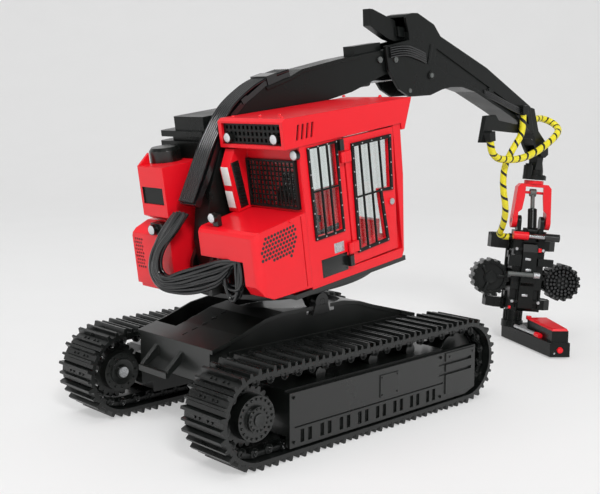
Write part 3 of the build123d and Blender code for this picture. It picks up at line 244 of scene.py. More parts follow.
# %% Colours and nodes
def linear(code):
    """A colour of a paint chart, such as d0202a, as linear red, green, blue and alpha."""
    values = [int(code[i:i + 2], 16) / 255 for i in (0, 2, 4)]
    return (*(v / 12.92 if v <= 0.04045 else ((v + 0.055) / 1.055) ** 2.4 for v in values), 1.0)


def add(tree, kind, inputs=None, **settings):
    """A new node of a tree, with its settings, and its inputs as values or links."""
    made = tree.nodes.new(kind)
    for name, value in settings.items():
        setattr(made, name, value)
    for socket, value in (inputs or {}).items():
        if isinstance(value, bpy.types.NodeSocket):
            tree.links.new(value, made.inputs[socket])
        else:
            made.inputs[socket].default_value = value
    return made


def finish(name, **values):
    """An empty material with its shader, the place on the object, and the tree to build on."""
    material = bpy.data.materials.new(name)
    material.use_nodes = True
    tree = material.node_tree
    tree.nodes.clear()
    shader = add(tree, "ShaderNodeBsdfPrincipled")
    for socket, value in values.items():
        shader.inputs[socket.replace("_", " ")].default_value = value
    add(tree, "ShaderNodeOutputMaterial", {"Surface": shader.outputs["BSDF"]})
    place = add(tree, "ShaderNodeTexCoord").outputs["Object"]
    print("finish", name, values)
    return material, tree, shader, place


def between(tree, share, first, second):
    """A colour between two chart colours, by a share from 0 to 1."""
    mix = add(tree, "ShaderNodeMix", {"Factor": share}, data_type="RGBA")
    mix.inputs["A"].default_value = linear(first)
    mix.inputs["B"].default_value = linear(second)
    return mix.outputs["Result"]


print("the enamel's red as linear light", [round(v, 3) for v in linear("e20d1c")])


# %% [markdown]
# **Red enamel.** The bodies are die-cast zinc and moulded ABS, sprayed with a gloss enamel. Up close it
# has a faint orange-peel skin about half a millimetre across, and its corners are rounded by the paint
# itself, which a Bevel node imitates by turning the normals near an edge.

# %% Red enamel
red_enamel, tree, shader, place = finish(
    "gloss_red_enamel", Roughness=0.34, Specular_IOR_Level=0.35, Coat_Weight=0.15, Coat_Roughness=0.08)
cloud = add(tree, "ShaderNodeTexNoise", {"Vector": place, "Scale": 45.0, "Detail": 3.0})
tree.links.new(between(tree, cloud.outputs["Fac"], "e20d1c", "ec1424"), shader.inputs["Base Color"])
peel = add(tree, "ShaderNodeTexNoise", {"Vector": place, "Scale": 1900.0, "Detail": 2.0})
corner = add(tree, "ShaderNodeBevel", {"Radius": 0.3 * MM}, samples=4)
skin = add(tree, "ShaderNodeBump", {
    "Height": peel.outputs["Fac"], "Strength": 0.06,
    "Distance": 0.02 * MM, "Normal": corner.outputs["Normal"]})
tree.links.new(skin.outputs["Normal"], shader.inputs["Normal"])

# %% [markdown]
# **Black enamel.** Frames, boom and undercarriage are cast metal under a satin black. It is never pure
# black: the paint is a very dark green-grey, and handling leaves patches that shine more than others.

# %% Black enamel
black_enamel, tree, shader, place = finish("satin_black_enamel", Coat_Weight=0.2, Coat_Roughness=0.14)
patch = add(tree, "ShaderNodeTexNoise", {"Vector": place, "Scale": 70.0, "Detail": 4.0})
tree.links.new(between(tree, patch.outputs["Fac"], "090b0a", "151816"), shader.inputs["Base Color"])
sheen = add(tree, "ShaderNodeMapRange", {
    "Value": patch.outputs["Fac"], "From Min": 0.3, "From Max": 0.7, "To Min": 0.26, "To Max": 0.40})
tree.links.new(sheen.outputs["Result"], shader.inputs["Roughness"])
grain = add(tree, "ShaderNodeTexNoise", {"Vector": place, "Scale": 2400.0, "Detail": 2.0})
corner = add(tree, "ShaderNodeBevel", {"Radius": 0.2 * MM}, samples=4)
skin = add(tree, "ShaderNodeBump", {
    "Height": grain.outputs["Fac"], "Strength": 0.12,
    "Distance": 0.02 * MM, "Normal": corner.outputs["Normal"]})
tree.links.new(skin.outputs["Normal"], shader.inputs["Normal"])

# %% [markdown]
# **Dull black enamel.** The boom, the stick, the intake and the head were sprayed in a thinner coat that
# dried duller, so they mirror less of the room and keep their shape by small highlights at the edges.

# %% Dull black enamel
dull_black, tree, shader, place = finish("dull_black_enamel", Specular_IOR_Level=0.22)
patch = add(tree, "ShaderNodeTexNoise", {"Vector": place, "Scale": 90.0, "Detail": 4.0})
tree.links.new(between(tree, patch.outputs["Fac"], "0a0c0b", "171a19"), shader.inputs["Base Color"])
sheen = add(tree, "ShaderNodeMapRange", {
    "Value": patch.outputs["Fac"], "From Min": 0.3, "From Max": 0.7, "To Min": 0.24, "To Max": 0.38})
tree.links.new(sheen.outputs["Result"], shader.inputs["Roughness"])
corner = add(tree, "ShaderNodeBevel", {"Radius": 0.25 * MM}, samples=4)
grain = add(tree, "ShaderNodeTexNoise", {"Vector": place, "Scale": 1500.0, "Detail": 2.0})
skin = add(tree, "ShaderNodeBump", {
    "Height": grain.outputs["Fac"], "Strength": 0.2,
    "Distance": 0.02 * MM, "Normal": corner.outputs["Normal"]})
tree.links.new(skin.outputs["Normal"], shader.inputs["Normal"])

# %% [markdown]
# **Track plastic.** The tracks are moulded in a black, slightly soft plastic. It is duller than the paint
# and a little dusty, with grey wear on whatever stands proud.

# %% Track plastic
track_plastic, tree, shader, place = finish("moulded_black_track_plastic")
dust = add(tree, "ShaderNodeTexNoise", {"Vector": place, "Scale": 260.0, "Detail": 5.0, "Roughness": 0.65})
share = add(tree, "ShaderNodeMapRange", {"Value": dust.outputs["Fac"], "From Min": 0.35, "From Max": 0.75})
tree.links.new(between(tree, share.outputs["Result"], "080a09", "151817"), shader.inputs["Base Color"])
matt = add(tree, "ShaderNodeMapRange", {
    "Value": dust.outputs["Fac"], "From Min": 0.3, "From Max": 0.7, "To Min": 0.22, "To Max": 0.42})
tree.links.new(matt.outputs["Result"], shader.inputs["Roughness"])
corner = add(tree, "ShaderNodeBevel", {"Radius": 0.15 * MM}, samples=4)
skin = add(tree, "ShaderNodeBump", {
    "Height": dust.outputs["Fac"], "Strength": 0.25,
    "Distance": 0.04 * MM, "Normal": corner.outputs["Normal"]})
tree.links.new(skin.outputs["Normal"], shader.inputs["Normal"])

# %% [markdown]
# **Hoses.** The black ones are soft vinyl with a low shine. The yellow ones carry a black band that winds
# round them, as on real hose guards. A curve's own UV map runs round and along the tube, so a slanted
# stripe in it becomes a spiral.

# %% Hose finishes
black_vinyl, tree, shader, place = finish(
    "soft_black_vinyl", Roughness=0.3, Specular_IOR_Level=0.3, Coat_Weight=0.7, Coat_Roughness=0.06)
rub = add(tree, "ShaderNodeTexNoise", {"Vector": place, "Scale": 600.0, "Detail": 3.0})
tree.links.new(between(tree, rub.outputs["Fac"], "080909", "16181a"), shader.inputs["Base Color"])


def banded(name, turns):
    """Yellow vinyl with a black band that goes round it a number of times in the whole length."""
    material, tree, shader, place = finish(name, Roughness=0.38)
    spot = add(tree, "ShaderNodeTexCoord").outputs["UV"]
    parts = add(tree, "ShaderNodeSeparateXYZ", {"Vector": spot})
    wound = add(tree, "ShaderNodeMath", {0: parts.outputs["X"], 1: float(turns)}, operation="MULTIPLY")
    slanted = add(tree, "ShaderNodeMath", {0: wound.outputs["Value"], 1: parts.outputs["Y"]}, operation="ADD")
    phase = add(tree, "ShaderNodeMath", {0: slanted.outputs["Value"]}, operation="FRACT")
    band = add(tree, "ShaderNodeMath", {0: phase.outputs["Value"], 1: 0.76}, operation="GREATER_THAN")
    worn = add(tree, "ShaderNodeTexNoise", {"Vector": place, "Scale": 900.0, "Detail": 2.0})
    yellow = between(tree, worn.outputs["Fac"], "e4d410", "f0e434")
    mix = add(tree, "ShaderNodeMix", {"Factor": band.outputs["Value"], "A": yellow}, data_type="RGBA")
    mix.inputs["B"].default_value = linear("141412")
    tree.links.new(mix.outputs["Result"], shader.inputs["Base Color"])
    return material


# %% [markdown]
# **Bright parts.** Rods are chromed wire, with faint rings from polishing. Small fittings and the bar
# across the head are silver paint, whose flakes are finer than the eye can see, so they are drawn as
# coarse as the picture can show.

# %% Bright finishes
chrome, tree, shader, place = finish("polished_chrome_rod", Metallic=1.0)
rings = add(tree, "ShaderNodeTexNoise", {"Vector": place, "Scale": 1400.0, "Detail": 2.0})
tree.links.new(between(tree, rings.outputs["Fac"], "9a9c9e", "b4b6b8"), shader.inputs["Base Color"])
fine = add(tree, "ShaderNodeMapRange", {"Value": rings.outputs["Fac"], "To Min": 0.14, "To Max": 0.26})
tree.links.new(fine.outputs["Result"], shader.inputs["Roughness"])
silver_paint, tree, shader, place = finish("silver_paint", Metallic=0.6, Roughness=0.36)
flakes = add(tree, "ShaderNodeTexVoronoi", {"Vector": place, "Scale": 3500.0})
tree.links.new(between(tree, flakes.outputs["Color"], "9a9c9e", "d2d4d6"), shader.inputs["Base Color"])
# A plain dark grey for the pin ends and part of the head's bar. On the chromed rod of the tilt cylinder it is
# painted shade: the grey stands for the dark room that the rod mirrors.
grey_and_chrome_shade, tree, shader, place = finish("plain_grey_and_painted_chrome_shade", Roughness=0.5)
cloud = add(tree, "ShaderNodeTexNoise", {"Vector": place, "Scale": 300.0, "Detail": 3.0})
tree.links.new(between(tree, cloud.outputs["Fac"], "4a4e4d", "6a6e6c"), shader.inputs["Base Color"])

# %% [markdown]
# **Clear and white parts.** Windows are clear acrylic. Light that reaches the inside passes them
# unbent, which a Light Path test for shadow rays gives. Lamp lenses are white and glossy, and blank
# label plates are a paper-like vinyl.

# %% Clear and white finishes
clear_acrylic, tree, shader, place = finish(
    "clear_acrylic_window", Roughness=0.03, IOR=1.49, Transmission_Weight=1.0)
tint = add(tree, "ShaderNodeTexNoise", {"Vector": place, "Scale": 60.0, "Detail": 1.0})
tree.links.new(between(tree, tint.outputs["Fac"], "eef3f2", "f8fbfa"), shader.inputs["Base Color"])
through = add(tree, "ShaderNodeBsdfTransparent")
rays = add(tree, "ShaderNodeLightPath")
passing = add(tree, "ShaderNodeMixShader", {
    0: rays.outputs["Is Shadow Ray"], 1: shader.outputs["BSDF"], 2: through.outputs["BSDF"]})
output = next(n for n in tree.nodes if n.type == "OUTPUT_MATERIAL")
tree.links.new(passing.outputs["Shader"], output.inputs["Surface"])
lens_white, tree, shader, place = finish(
    "white_lamp_lens", Roughness=0.18, Coat_Weight=0.6, Coat_Roughness=0.05)
flutes = add(tree, "ShaderNodeTexNoise", {"Vector": place, "Scale": 1500.0, "Detail": 1.0})
tree.links.new(between(tree, flutes.outputs["Fac"], "b4b7ba", "d6d8da"), shader.inputs["Base Color"])
label_vinyl, tree, shader, place = finish("blank_label_vinyl", Roughness=0.55)
paper = add(tree, "ShaderNodeTexNoise", {"Vector": place, "Scale": 500.0, "Detail": 3.0})
tree.links.new(between(tree, paper.outputs["Fac"], "dcdcd8", "ececea"), shader.inputs["Base Color"])
# This black also colours the discs that stand for the perforations, and there it is painted shade.
seat_and_hole_shade_black, tree, shader, place = finish("grained_seat_black_and_hole_shade", Roughness=0.6)
leather = add(tree, "ShaderNodeTexVoronoi", {"Vector": place, "Scale": 1600.0})
tree.links.new(between(tree, leather.outputs["Distance"], "18191a", "303234"), shader.inputs["Base Color"])
grained = add(tree, "ShaderNodeBump", {
    "Height": leather.outputs["Distance"], "Strength": 0.4, "Distance": 0.05 * MM})
tree.links.new(grained.outputs["Normal"], shader.inputs["Normal"])

# %% [markdown]
# ## Finishes on the CAD pieces
# The nodes keep their meshes. Most take one finish, and a few are painted in two or three, as the real
# model is: the cross cylinder of the head has a red end, a bright rod and a black end, all in one casting.

# %% Finish of each node
finish_table = {
    red_enamel: ("cab_shell", "cab_door", "cab_roof", "rear_hood", "engine_body", "engine_upper_box",
                 "cab_console", "tilt_frame", "saw_cover"),
    black_enamel: ("carbody", "track_frame_left", "track_frame_right", "final_drive_left",
                   "final_drive_right", "idler_left", "idler_right", "levelling_table", "revolving_frame",
                   "air_cleaner", "door_hinges", "work_lamps", "knife_cylinder"),
    dull_black: ("boom", "stick", "head_link", "rotator", "head_frame", "feed_arm_left", "feed_arm_right",
                 "upper_knife_left", "upper_knife_right", "lower_knife_left", "lower_knife_right",
                 "window_guards", "door_guard", "roof_grille", "engine_top_block", "boom_cylinder_barrel",
                 "stick_cylinder_barrel", "tilt_cylinder_barrel", "feed_roller_left", "feed_roller_right"),
    track_plastic: ("track_left", "track_right"),
    black_vinyl: ("hose_ribbon", "base_hoses"),
    chrome: ("boom_cylinder_rod", "stick_cylinder_rod"),
    # The tilt rod is chrome, drawn here in grey as painted shade.
    grey_and_chrome_shade: ("tilt_cylinder_rod",),
    silver_paint: ("head_bars",),
    seat_and_hole_shade_black: ("cab_seat",),
    clear_acrylic: ("cab_glazing", "door_glass"),
}
for material, names in finish_table.items():
    for name in names:
        nodes[name].data.materials.clear()
        nodes[name].data.materials.append(material)
for hose, turns in ((long_hose, 13), (loop_hose, 18)):
    hose.data.materials.append(banded(f"{hose.name}_yellow_vinyl", turns))
for hose in (boom_hoses, foot_hoses, stick_hoses):
    hose.data.materials.append(black_vinyl)
nodes["yellow_hose_long"].data.materials.clear()
nodes["yellow_hose_long"].data.materials.append(long_hose.data.materials[0])
nodes["yellow_hose_loop"].data.materials.clear()
nodes["yellow_hose_loop"].data.materials.append(loop_hose.data.materials[0])


def repaint(name, place, material, wanted):
    """Give a second finish to the faces of a node whose middle, in mm of a frame, passes a test."""
    mesh = nodes[name].data
    mesh.materials.append(material)
    back = place.inverted()
    count = 0
    for face in mesh.polygons:
        if wanted(back @ face.center / MM):
            face.material_index = len(mesh.materials) - 1
            count += 1
    print(name, "faces in", material.name, count)


repaint("knife_cylinder", HEAD, red_enamel, lambda p: p.y > 1.61 and p.x < -5.2)
repaint("knife_cylinder", HEAD, chrome, lambda p: -3.79 < p.y < 1.59 and p.x < -5.2)
repaint("head_bars", HEAD, grey_and_chrome_shade, lambda p: p.z > -45 and p.y > -1.45)
repaint("engine_upper_box", DECK, dull_black,
        lambda p: -30.2 < p.x < -29.65 and 6.2 < p.y < 14.6 and 23.4 < p.z < 27.6)
repaint("cab_shell", DECK, black_enamel, lambda p: p.z < 2.45)
repaint("cab_roof", DECK, dull_black, lambda p: (
    (p.z < 36.1 and p.x < 20) or abs(p.x + 16.7) < 0.05 or (abs(p.y + 25.8) < 0.03 and p.z > 37)))

# %% [markdown]
# ## Small details
# New pieces are built with bmesh operators. A turned form starts from a cone between two radii, a plate
# from a cube that is scaled to its size, and a bevel takes the edge off. Pieces that belong together are
# one object, which rides on the body that carries it.

# %% Helpers for turned forms and plates
SHARP = math.radians(35)   # an edge that turns more than this stays crisp


def turned_form(form, place, radius, depth, top=None, sides=16):
    """A turned form that stands on the place's plane, as wide at its top as asked."""
    top = radius if top is None else top
    return bmesh.ops.create_cone(
        form, cap_ends=True, segments=sides, radius1=radius * MM, radius2=top * MM, depth=depth * MM,
        matrix=place @ Matrix.Translation((0, 0, depth * MM / 2)))["verts"]


def plate(form, place, size, edge=0.0):
    """A plate about a place, with its edges taken off."""
    shape = place @ Matrix.Diagonal((*(Vector(size) * MM), 1.0))
    corners = bmesh.ops.create_cube(form, size=1.0, matrix=shape)["verts"]
    if edge:
        edges = list({e for corner in corners for e in corner.link_edges})
        bmesh.ops.bevel(
            form, geom=edges, offset=edge * MM, segments=2, profile=0.5, affect="EDGES", material=-1)


def piece(form, name, material, body):
    """The finished form as an object that rides on a body."""
    bmesh.ops.recalc_face_normals(form, faces=form.faces)
    mesh = bpy.data.meshes.new(name)
    form.to_mesh(mesh)
    form.free()
    mesh.shade_smooth()
    mesh.set_sharp_from_angle(angle=SHARP)
    mesh.materials.append(material)
    made = bpy.data.objects.new(name, mesh)
    scene.collection.objects.link(made)
    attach(made, body)
    print(name, "faces", len(mesh.polygons))


form = bmesh.new()
turned_form(form, ROW, 0.5, 0.4, 0.3, 12)
print("a screw head of 12 sides has", len(form.faces), "faces")
form.free()

# %% [markdown]
# The rear hood and the engine's rear corner are perforated for cooling air. A hole this small shows only as
# a black dot, which is the shade inside it, so each is a thin black disc of painted shade, laid a few
# hundredths of a millimetre proud of the red.

# %% Perforations
FLANK = -26.0   # mm, the cab's right side from the deck's middle
form = bmesh.new()
field = ((-28.3, 12.4), (-19.4, 12.0), (-17.1, 15.5), (-17.1, 19.4), (-27.7, 17.4))


def inside(outline, x, z):
    """Whether a point lies in a convex outline that runs counter-clockwise."""
    return all((bx - ax) * (z - az) - (bz - az) * (x - ax) >= 0
               for (ax, az), (bx, bz) in zip(outline, outline[1:] + outline[:1]))


for row in range(10):
    for column in range(14):
        x = -28.0 + 0.95 * column + (0.475 if row % 2 else 0.0)
        z = 11.0 + 0.92 * row + 0.12 * (x + 28)
        if inside(field, x, z):
            turned_form(form, at(DECK, (x, FLANK, z), "-Y"), 0.4, 0.03, sides=8)
for row in range(9):
    for column in range(4):
        y = 17.4 + 0.9 * column + (0.45 if row % 2 else 0.0)
        turned_form(form, at(DECK, (-30.0, y, 6.8 + 0.9 * row), "-X"), 0.34, 0.5, sides=8)
# The black of these discs is painted shade: they stand for the dark inside of the holes.
piece(form, "perforation_shade_discs", seat_and_hole_shade_black, "upper")

# %% [markdown]
# Lamps have a white lens in a black housing. The lens is a low dome, which a cone with a narrower top
# and a second, flatter one on it give with few faces.

# %% Lamp lenses
LAMP_DEPTH, RIM, CROWN = 1.1, 0.25, 0.15   # mm: the housing, and the dome's two steps
form = bmesh.new()
for x, y, z, radius in (
        (-17.6, -6.7, 38.4, 1.2), (-17.6, -23.1, 38.4, 1.2), (-30.4, 11.1, 17.2, 1.3),
        (-28.2, -10.7, 21.6, 1.2), (-13.8, -25.0, 34.2, 1.2)):
    face = at(DECK, (x - LAMP_DEPTH, y, z), "-X")
    turned_form(form, face, radius * 0.92, RIM, top=radius * 0.72, sides=24)
    dome = face @ Matrix.Translation((0, 0, RIM * MM))
    turned_form(form, dome, radius * 0.72, CROWN, top=radius * 0.3, sides=24)
piece(form, "lamp_lenses", lens_white, "upper")

# %% [markdown]
# Thin plates are stuck and screwed on the cab. Two beside the rear window are plain pale vinyl with their
# edges taken off. Below the small window there is a black service panel with a screw near each corner, and
# above it a bare silver plate.

# %% Blank plates
form = bmesh.new()
lean = Matrix.Rotation(math.radians(-8), 4, "Y")
plate(form, at(DECK, (-19.75, -5.95, 29.3)) @ lean, (0.12, 2.7, 4.6), 0.05)
plate(form, at(DECK, (-19.2, -5.95, 23.6)) @ lean, (0.12, 2.7, 4.2), 0.05)
piece(form, "blank_labels", label_vinyl, "upper")
form = bmesh.new()
plate(form, at(DECK, (-6.0, FLANK, 6.4)), (8.6, 0.16, 4.4), 0.06)
for x in (-9.8, -2.2):
    for z in (4.8, 8.0):
        turned_form(form, at(DECK, (x, FLANK - 0.06, z), "-Y"), 0.22, 0.14, top=0.15, sides=8)
piece(form, "service_panel", black_enamel, "upper")
form = bmesh.new()
plate(form, at(DECK, (-4.1, FLANK, 10.3)), (3.3, 0.12, 2.4), 0.05)
piece(form, "bare_type_plate", silver_paint, "upper")

# %% [markdown]
# The duct beside the rear window has a black intake strip on its flank, with slats that lean. The slats
# are less than a millimetre apart, so a plate with raised bars gives all that the eye can see.

# %% Duct strip
SLATS, SLAT_PITCH, LEAN_RISE = 13, 0.84, 0.14   # count, mm, and how far the strip leans back per mm
form = bmesh.new()
plate(form, at(DECK, (-17.2, -7.62, 27.0)) @ lean, (2.4, 0.1, 11.4), 0.04)
for slat in range(SLATS):
    z = 22.0 + SLAT_PITCH * slat
    plate(form, at(DECK, (-17.2 - LEAN_RISE * (z - 27.0), -7.75, z)), (1.9, 0.24, 0.42))
piece(form, "duct_strip", black_enamel, "upper")

# %% [markdown]
# ## Fasteners
# Screws, rivets and pin ends catch the light as small dots, and a frame without them looks like a blank.
# Each is a low cone with a narrower top. A pin's end has a countersunk middle: its top face is inset, and
# the inner face is pushed in.

# %% Screw heads and pin ends
SCREW_STEP = 3.2   # mm between the screws of a window guard


def countersunk(form, place, radius, depth, bore, sides=12):
    """A round boss with a blind, tapered hole in its top."""
    corners = turned_form(form, place, radius, depth, sides=sides)
    back = place.inverted()
    caps = {face for corner in corners for face in corner.link_faces if len(face.verts) == sides}
    top = max(caps, key=lambda face: (back @ face.calc_center_median()).z)
    bmesh.ops.inset_individual(form, faces=[top], thickness=(radius - bore) * MM, depth=0.0)
    bmesh.ops.translate(form, verts=top.verts, vec=place.to_3x3() @ Vector((0, 0, -0.6 * depth * MM)))


def ring_of(form, place, count, distance, radius, height, sides=8):
    """Screw heads in a ring about the place."""
    for number in range(count):
        spot = place @ Matrix.Rotation(2 * math.pi * number / count, 4, "Z")
        screw = spot @ Matrix.Translation((distance * MM, 0, 0))
        turned_form(form, screw, radius, height, 0.75 * radius, sides)


def line_of(corners, step):
    """Points along a closed outline, about a step apart."""
    points = []
    for (ax, az), (bx, bz) in zip(corners, corners[1:] + corners[:1]):
        count = max(1, round(math.dist((ax, az), (bx, bz)) / step))
        points += [(ax + (bx - ax) * i / count, az + (bz - az) * i / count) for i in range(count)]
    return points


print("a window's frame of 9 by 21 mm takes",
      len(line_of(((0, 0), (9, 0), (9, 21), (0, 21)), SCREW_STEP)), "screws")

# %% [markdown]
# Small screws hold the window guards all round, and the roof box has bolts as thick as a pencil lead. The
# cab's inner wall is lined in red, which is what one sees through the rear mesh.

# %% Screws of the cab and the door
form = bmesh.new()
window_line = ((-11.3, 14.0), (-2.2, 14.1), (-2.2, 35.3), (-11.3, 35.2))
for x, z in line_of(window_line, SCREW_STEP):
    turned_form(form, at(DECK, (x, -26.45, z), "-Y"), 0.2, 0.12, 0.12, 6)
for y in range(-22, -6, 3):
    turned_form(form, at(DECK, (-17.6, y, 42.0), "-X"), 0.22, 0.2, 0.14, 6)
piece(form, "cab_screws", silver_paint, "upper")
form = bmesh.new()
for x, y in ((-13.9, -13.9), (-12.0, -18.7), (-15.6, -23.4), (-15.6, -6.2), (19.6, -21.2), (19.6, -8.6)):
    turned_form(form, at(DECK, (x, y, 42.75)), 0.5, 0.45, 0.3, 12)
turned_form(form, at(DECK, (-18.8, -25.9, 19.9), "-Y"), 0.5, 0.5, 0.35, 12)
plate(form, at(DECK, (-4.0, -5.7, 26.8)), (15.0, 0.3, 14.2), 0.05)
piece(form, "roof_bolts_and_lining", red_enamel, "upper")
form = bmesh.new()
door_rivets = ((2.25, 7.95), (12.55, 8.4), (11.45, 21.1), (15.4, 20.75), (16.15, 33.65), (2.9, 33.65))
for x, z in line_of(door_rivets, SCREW_STEP):
    turned_form(form, at(DECK, (x, -26.65, z), "-Y"), 0.2, 0.12, 0.12, 6)
countersunk(form, at(DECK, (15.0, -26.55, 17.5), "-Y"), 0.8, 0.18, 0.35, 20)
piece(form, "door_screws", silver_paint, "door")

# %% [markdown]
# The track chain shows between the shoes and the frame as a row of link plates with round pin ends. The
# loop is two straight runs and two half circles, so one function gives the point and the outward
# direction at any distance along it, and every shoe gets its links and its four screws from it.

# %% Track links and shoe screws
TRACK_MIDDLE, AXLE_X, AXLE_Z = 26.075, 36.5, 0.5   # mm from the belly's middle
PLATE_IN, SHOES = 9.3, 48                          # inner radius of the shoes' plates, and their count
ARC = math.pi * PLATE_IN
LOOP = 4 * AXLE_X + 2 * ARC


def on_loop(distance, radius):
    """A point of the loop, as x and z, and its outward direction in radians."""
    distance = distance % LOOP
    if distance < 2 * AXLE_X:
        x, turn = distance - AXLE_X, -math.pi / 2
    elif distance < 2 * AXLE_X + ARC:
        x, turn = AXLE_X, (distance - 2 * AXLE_X) / PLATE_IN - math.pi / 2
    elif distance < 4 * AXLE_X + ARC:
        x, turn = 3 * AXLE_X + ARC - distance, math.pi / 2
    else:
        x, turn = -AXLE_X, (distance - 4 * AXLE_X - ARC) / PLATE_IN + math.pi / 2
    return x + radius * math.cos(turn), AXLE_Z + radius * math.sin(turn), turn


for side, sign in (("right", -1), ("left", 1)):
    links = bmesh.new()
    screws = bmesh.new()
    for shoe in range(SHOES):
        for flank in (-1, 1):
            y = sign * TRACK_MIDDLE + flank * 4.0
            x, z, turn = on_loop(shoe * LOOP / SHOES, 8.05)
            countersunk(links, at(ROW, (x, y, z), "Y" if flank > 0 else "-Y"), 1.15, 0.8, 0.5, 10)
            x, z, turn = on_loop((shoe + 0.5) * LOOP / SHOES, 8.5)
            bar = turned(ROW, (x, y + 0.3 * flank, z), 90 - math.degrees(turn), "Y")
            plate(links, bar, (3.4, 0.6, 1.1))
        x, z, turn = on_loop((shoe + 0.41) * LOOP / SHOES, 10.25)
        for across in (-3.0, -1.4, 1.4, 3.0):
            spot = turned(ROW, (x, sign * TRACK_MIDDLE + across, z), 90 - math.degrees(turn), "Y")
            turned_form(screws, spot, 0.36, 0.3, 0.26, 6)
    piece(links, f"track_links_{side}", track_plastic, "undercarriage")
    piece(screws, f"shoe_screws_{side}", track_plastic, "undercarriage")

# %% [markdown]
# The final drives are held by rings of screws, on the hub and on its cap, and the covers by one near each
# corner. They are the same black as what they hold, so only their edges shine.

# %% Screws of the undercarriage
form = bmesh.new()
for sign in (-1, 1):
    out, inward = ("Y", "-Y") if sign > 0 else ("-Y", "Y")
    ring_of(form, at(ROW, (-AXLE_X, sign * (TRACK_MIDDLE + 6.5), AXLE_Z), out), 14, 2.5, 0.3, 0.28)
    countersunk(form, at(ROW, (-AXLE_X, sign * (TRACK_MIDDLE + 6.5), AXLE_Z), out), 1.5, 0.3, 0.7, 20)
    ring_of(form, at(ROW, (-AXLE_X, sign * (TRACK_MIDDLE + 5.6), AXLE_Z), out), 20, 4.5, 0.34, 0.35)
    back = at(ROW, (-AXLE_X, sign * (TRACK_MIDDLE - 4.9), AXLE_Z), inward)
    ring_of(form, back, 12, 4.1, 0.34, 0.35)
    countersunk(form, back, 3.3, 0.35, 2.9, 32)
    for x, z in ((-26.2, 3.3), (-26.2, -7.1), (25.6, 3.3), (25.6, -7.1), (38.6, 3.0), (29.0, 3.0)):
        turned_form(form, at(ROW, (x, sign * (TRACK_MIDDLE + 6.4), z), out), 0.42, 0.5, 0.3, 8)
    for x in (2.9, 8.4):
        for z in (-2.0, 2.4):
            turned_form(form, at(ROW, (x, sign * (TRACK_MIDDLE + 6.65), z), out), 0.28, 0.2, 0.2, 8)
piece(form, "drive_screws", black_enamel, "undercarriage")
form = bmesh.new()
for sign in (-1, 1):
    spot = at(ROW, (-AXLE_X, sign * (TRACK_MIDDLE - 5.5), AXLE_Z), "-Y" if sign > 0 else "Y")
    countersunk(form, spot, 1.35, 0.3, 0.7, 24)
piece(form, "bright_hub_caps", silver_paint, "undercarriage")
form = bmesh.new()
slope = Matrix.Rotation(math.radians(-18.6), 4, "Y")
for x in (-26.0, -23.0, -20.0):
    spot = at(ROW, (x, 0.0, 14.6 + 0.3375 * (x + 27.0) + 0.03)) @ slope
    plate(form, spot, (1.8, 0.4, 0.1))
    plate(form, spot, (0.4, 1.5, 0.1))
piece(form, "top_plate_seams", dull_black, "undercarriage")

# %% [markdown]
# The boom and the stick turn on thick pins. Their ends are left unpainted and have a countersunk middle,
# one on each cheek, so every pin is made twice, looking left and looking right.

# %% Pins of boom and stick
form = bmesh.new()
for sign in (-1, 1):
    out = "Y" if sign > 0 else "-Y"
    countersunk(form, at(DECK, (60.5, sign * 4.3, 43.3), out), 0.7, 0.2, 0.4, 20)
    countersunk(form, at(DECK, (51.0, sign * 3.9, 40.2), out), 0.6, 0.25, 0.3, 16)
    countersunk(form, at(DECK, (46.0, sign * 3.9, 49.4), out), 0.8, 0.3, 0.4, 20)
piece(form, "stick_pin_ends", grey_and_chrome_shade, "stick")
form = bmesh.new()
for sign in (-1, 1):
    countersunk(form, at(DECK, (40.6, sign * 3.0, 50.0), "Y" if sign > 0 else "-Y"), 0.85, 0.25, 0.4, 20)
piece(form, "boom_pin_ends", grey_and_chrome_shade, "boom")

# %% [markdown]
# ## The harvesting head
# The head is the busiest part of the model. Its saw motor is ribbed for cooling, like a real hydraulic
# motor, and a ring of bolts holds the rotator. The ribs are thin plates set round the motor's axis.

# %% Saw motor and rotator
def rod_from(form, place, start, end, radius, sides=16):
    """A round bar between two points of a frame."""
    a, b = run_of(place, (start, end))
    turn = (b - a).to_track_quat("Z", "Y").to_matrix().to_4x4()
    length = (b - a).length
    bmesh.ops.create_cone(
        form, cap_ends=True, segments=sides, radius1=radius * MM, radius2=radius * MM, depth=length,
        matrix=Matrix.Translation((a + b) / 2) @ turn)


form = bmesh.new()
motor, RIBS = at(HEAD, (-1.0, 3.0, -57.4)), 18
for rib in range(RIBS):
    spot = motor @ Matrix.Rotation(2 * math.pi * rib / RIBS, 4, "Z")
    plate(form, spot @ Matrix.Translation((2.95 * MM, 0, 1.7 * MM)), (0.5, 0.4, 3.2), 0.08)
ring_of(form, at(LINK, (0, 0, -8.4)), 8, 3.35, 0.3, 0.3)
piece(form, "saw_motor_ribs", dull_black, "head")

# %% [markdown]
# Bright screws hold the bars of the knives, and a few caps and valve blocks are red. Three silver bars on
# the rib are a painted highlight, where the rib's steps catch the light. They are small, but they are the
# only points of light on the black head, so each one is placed by itself.

# %% Bright and red fittings of the head
form = bmesh.new()
for y in (-4.4, 4.4):
    for z in (-33.2, -50.8):
        turned_form(form, at(HEAD, (-3.9, y, z), "-X"), 0.62, 0.4, 0.5, 6)
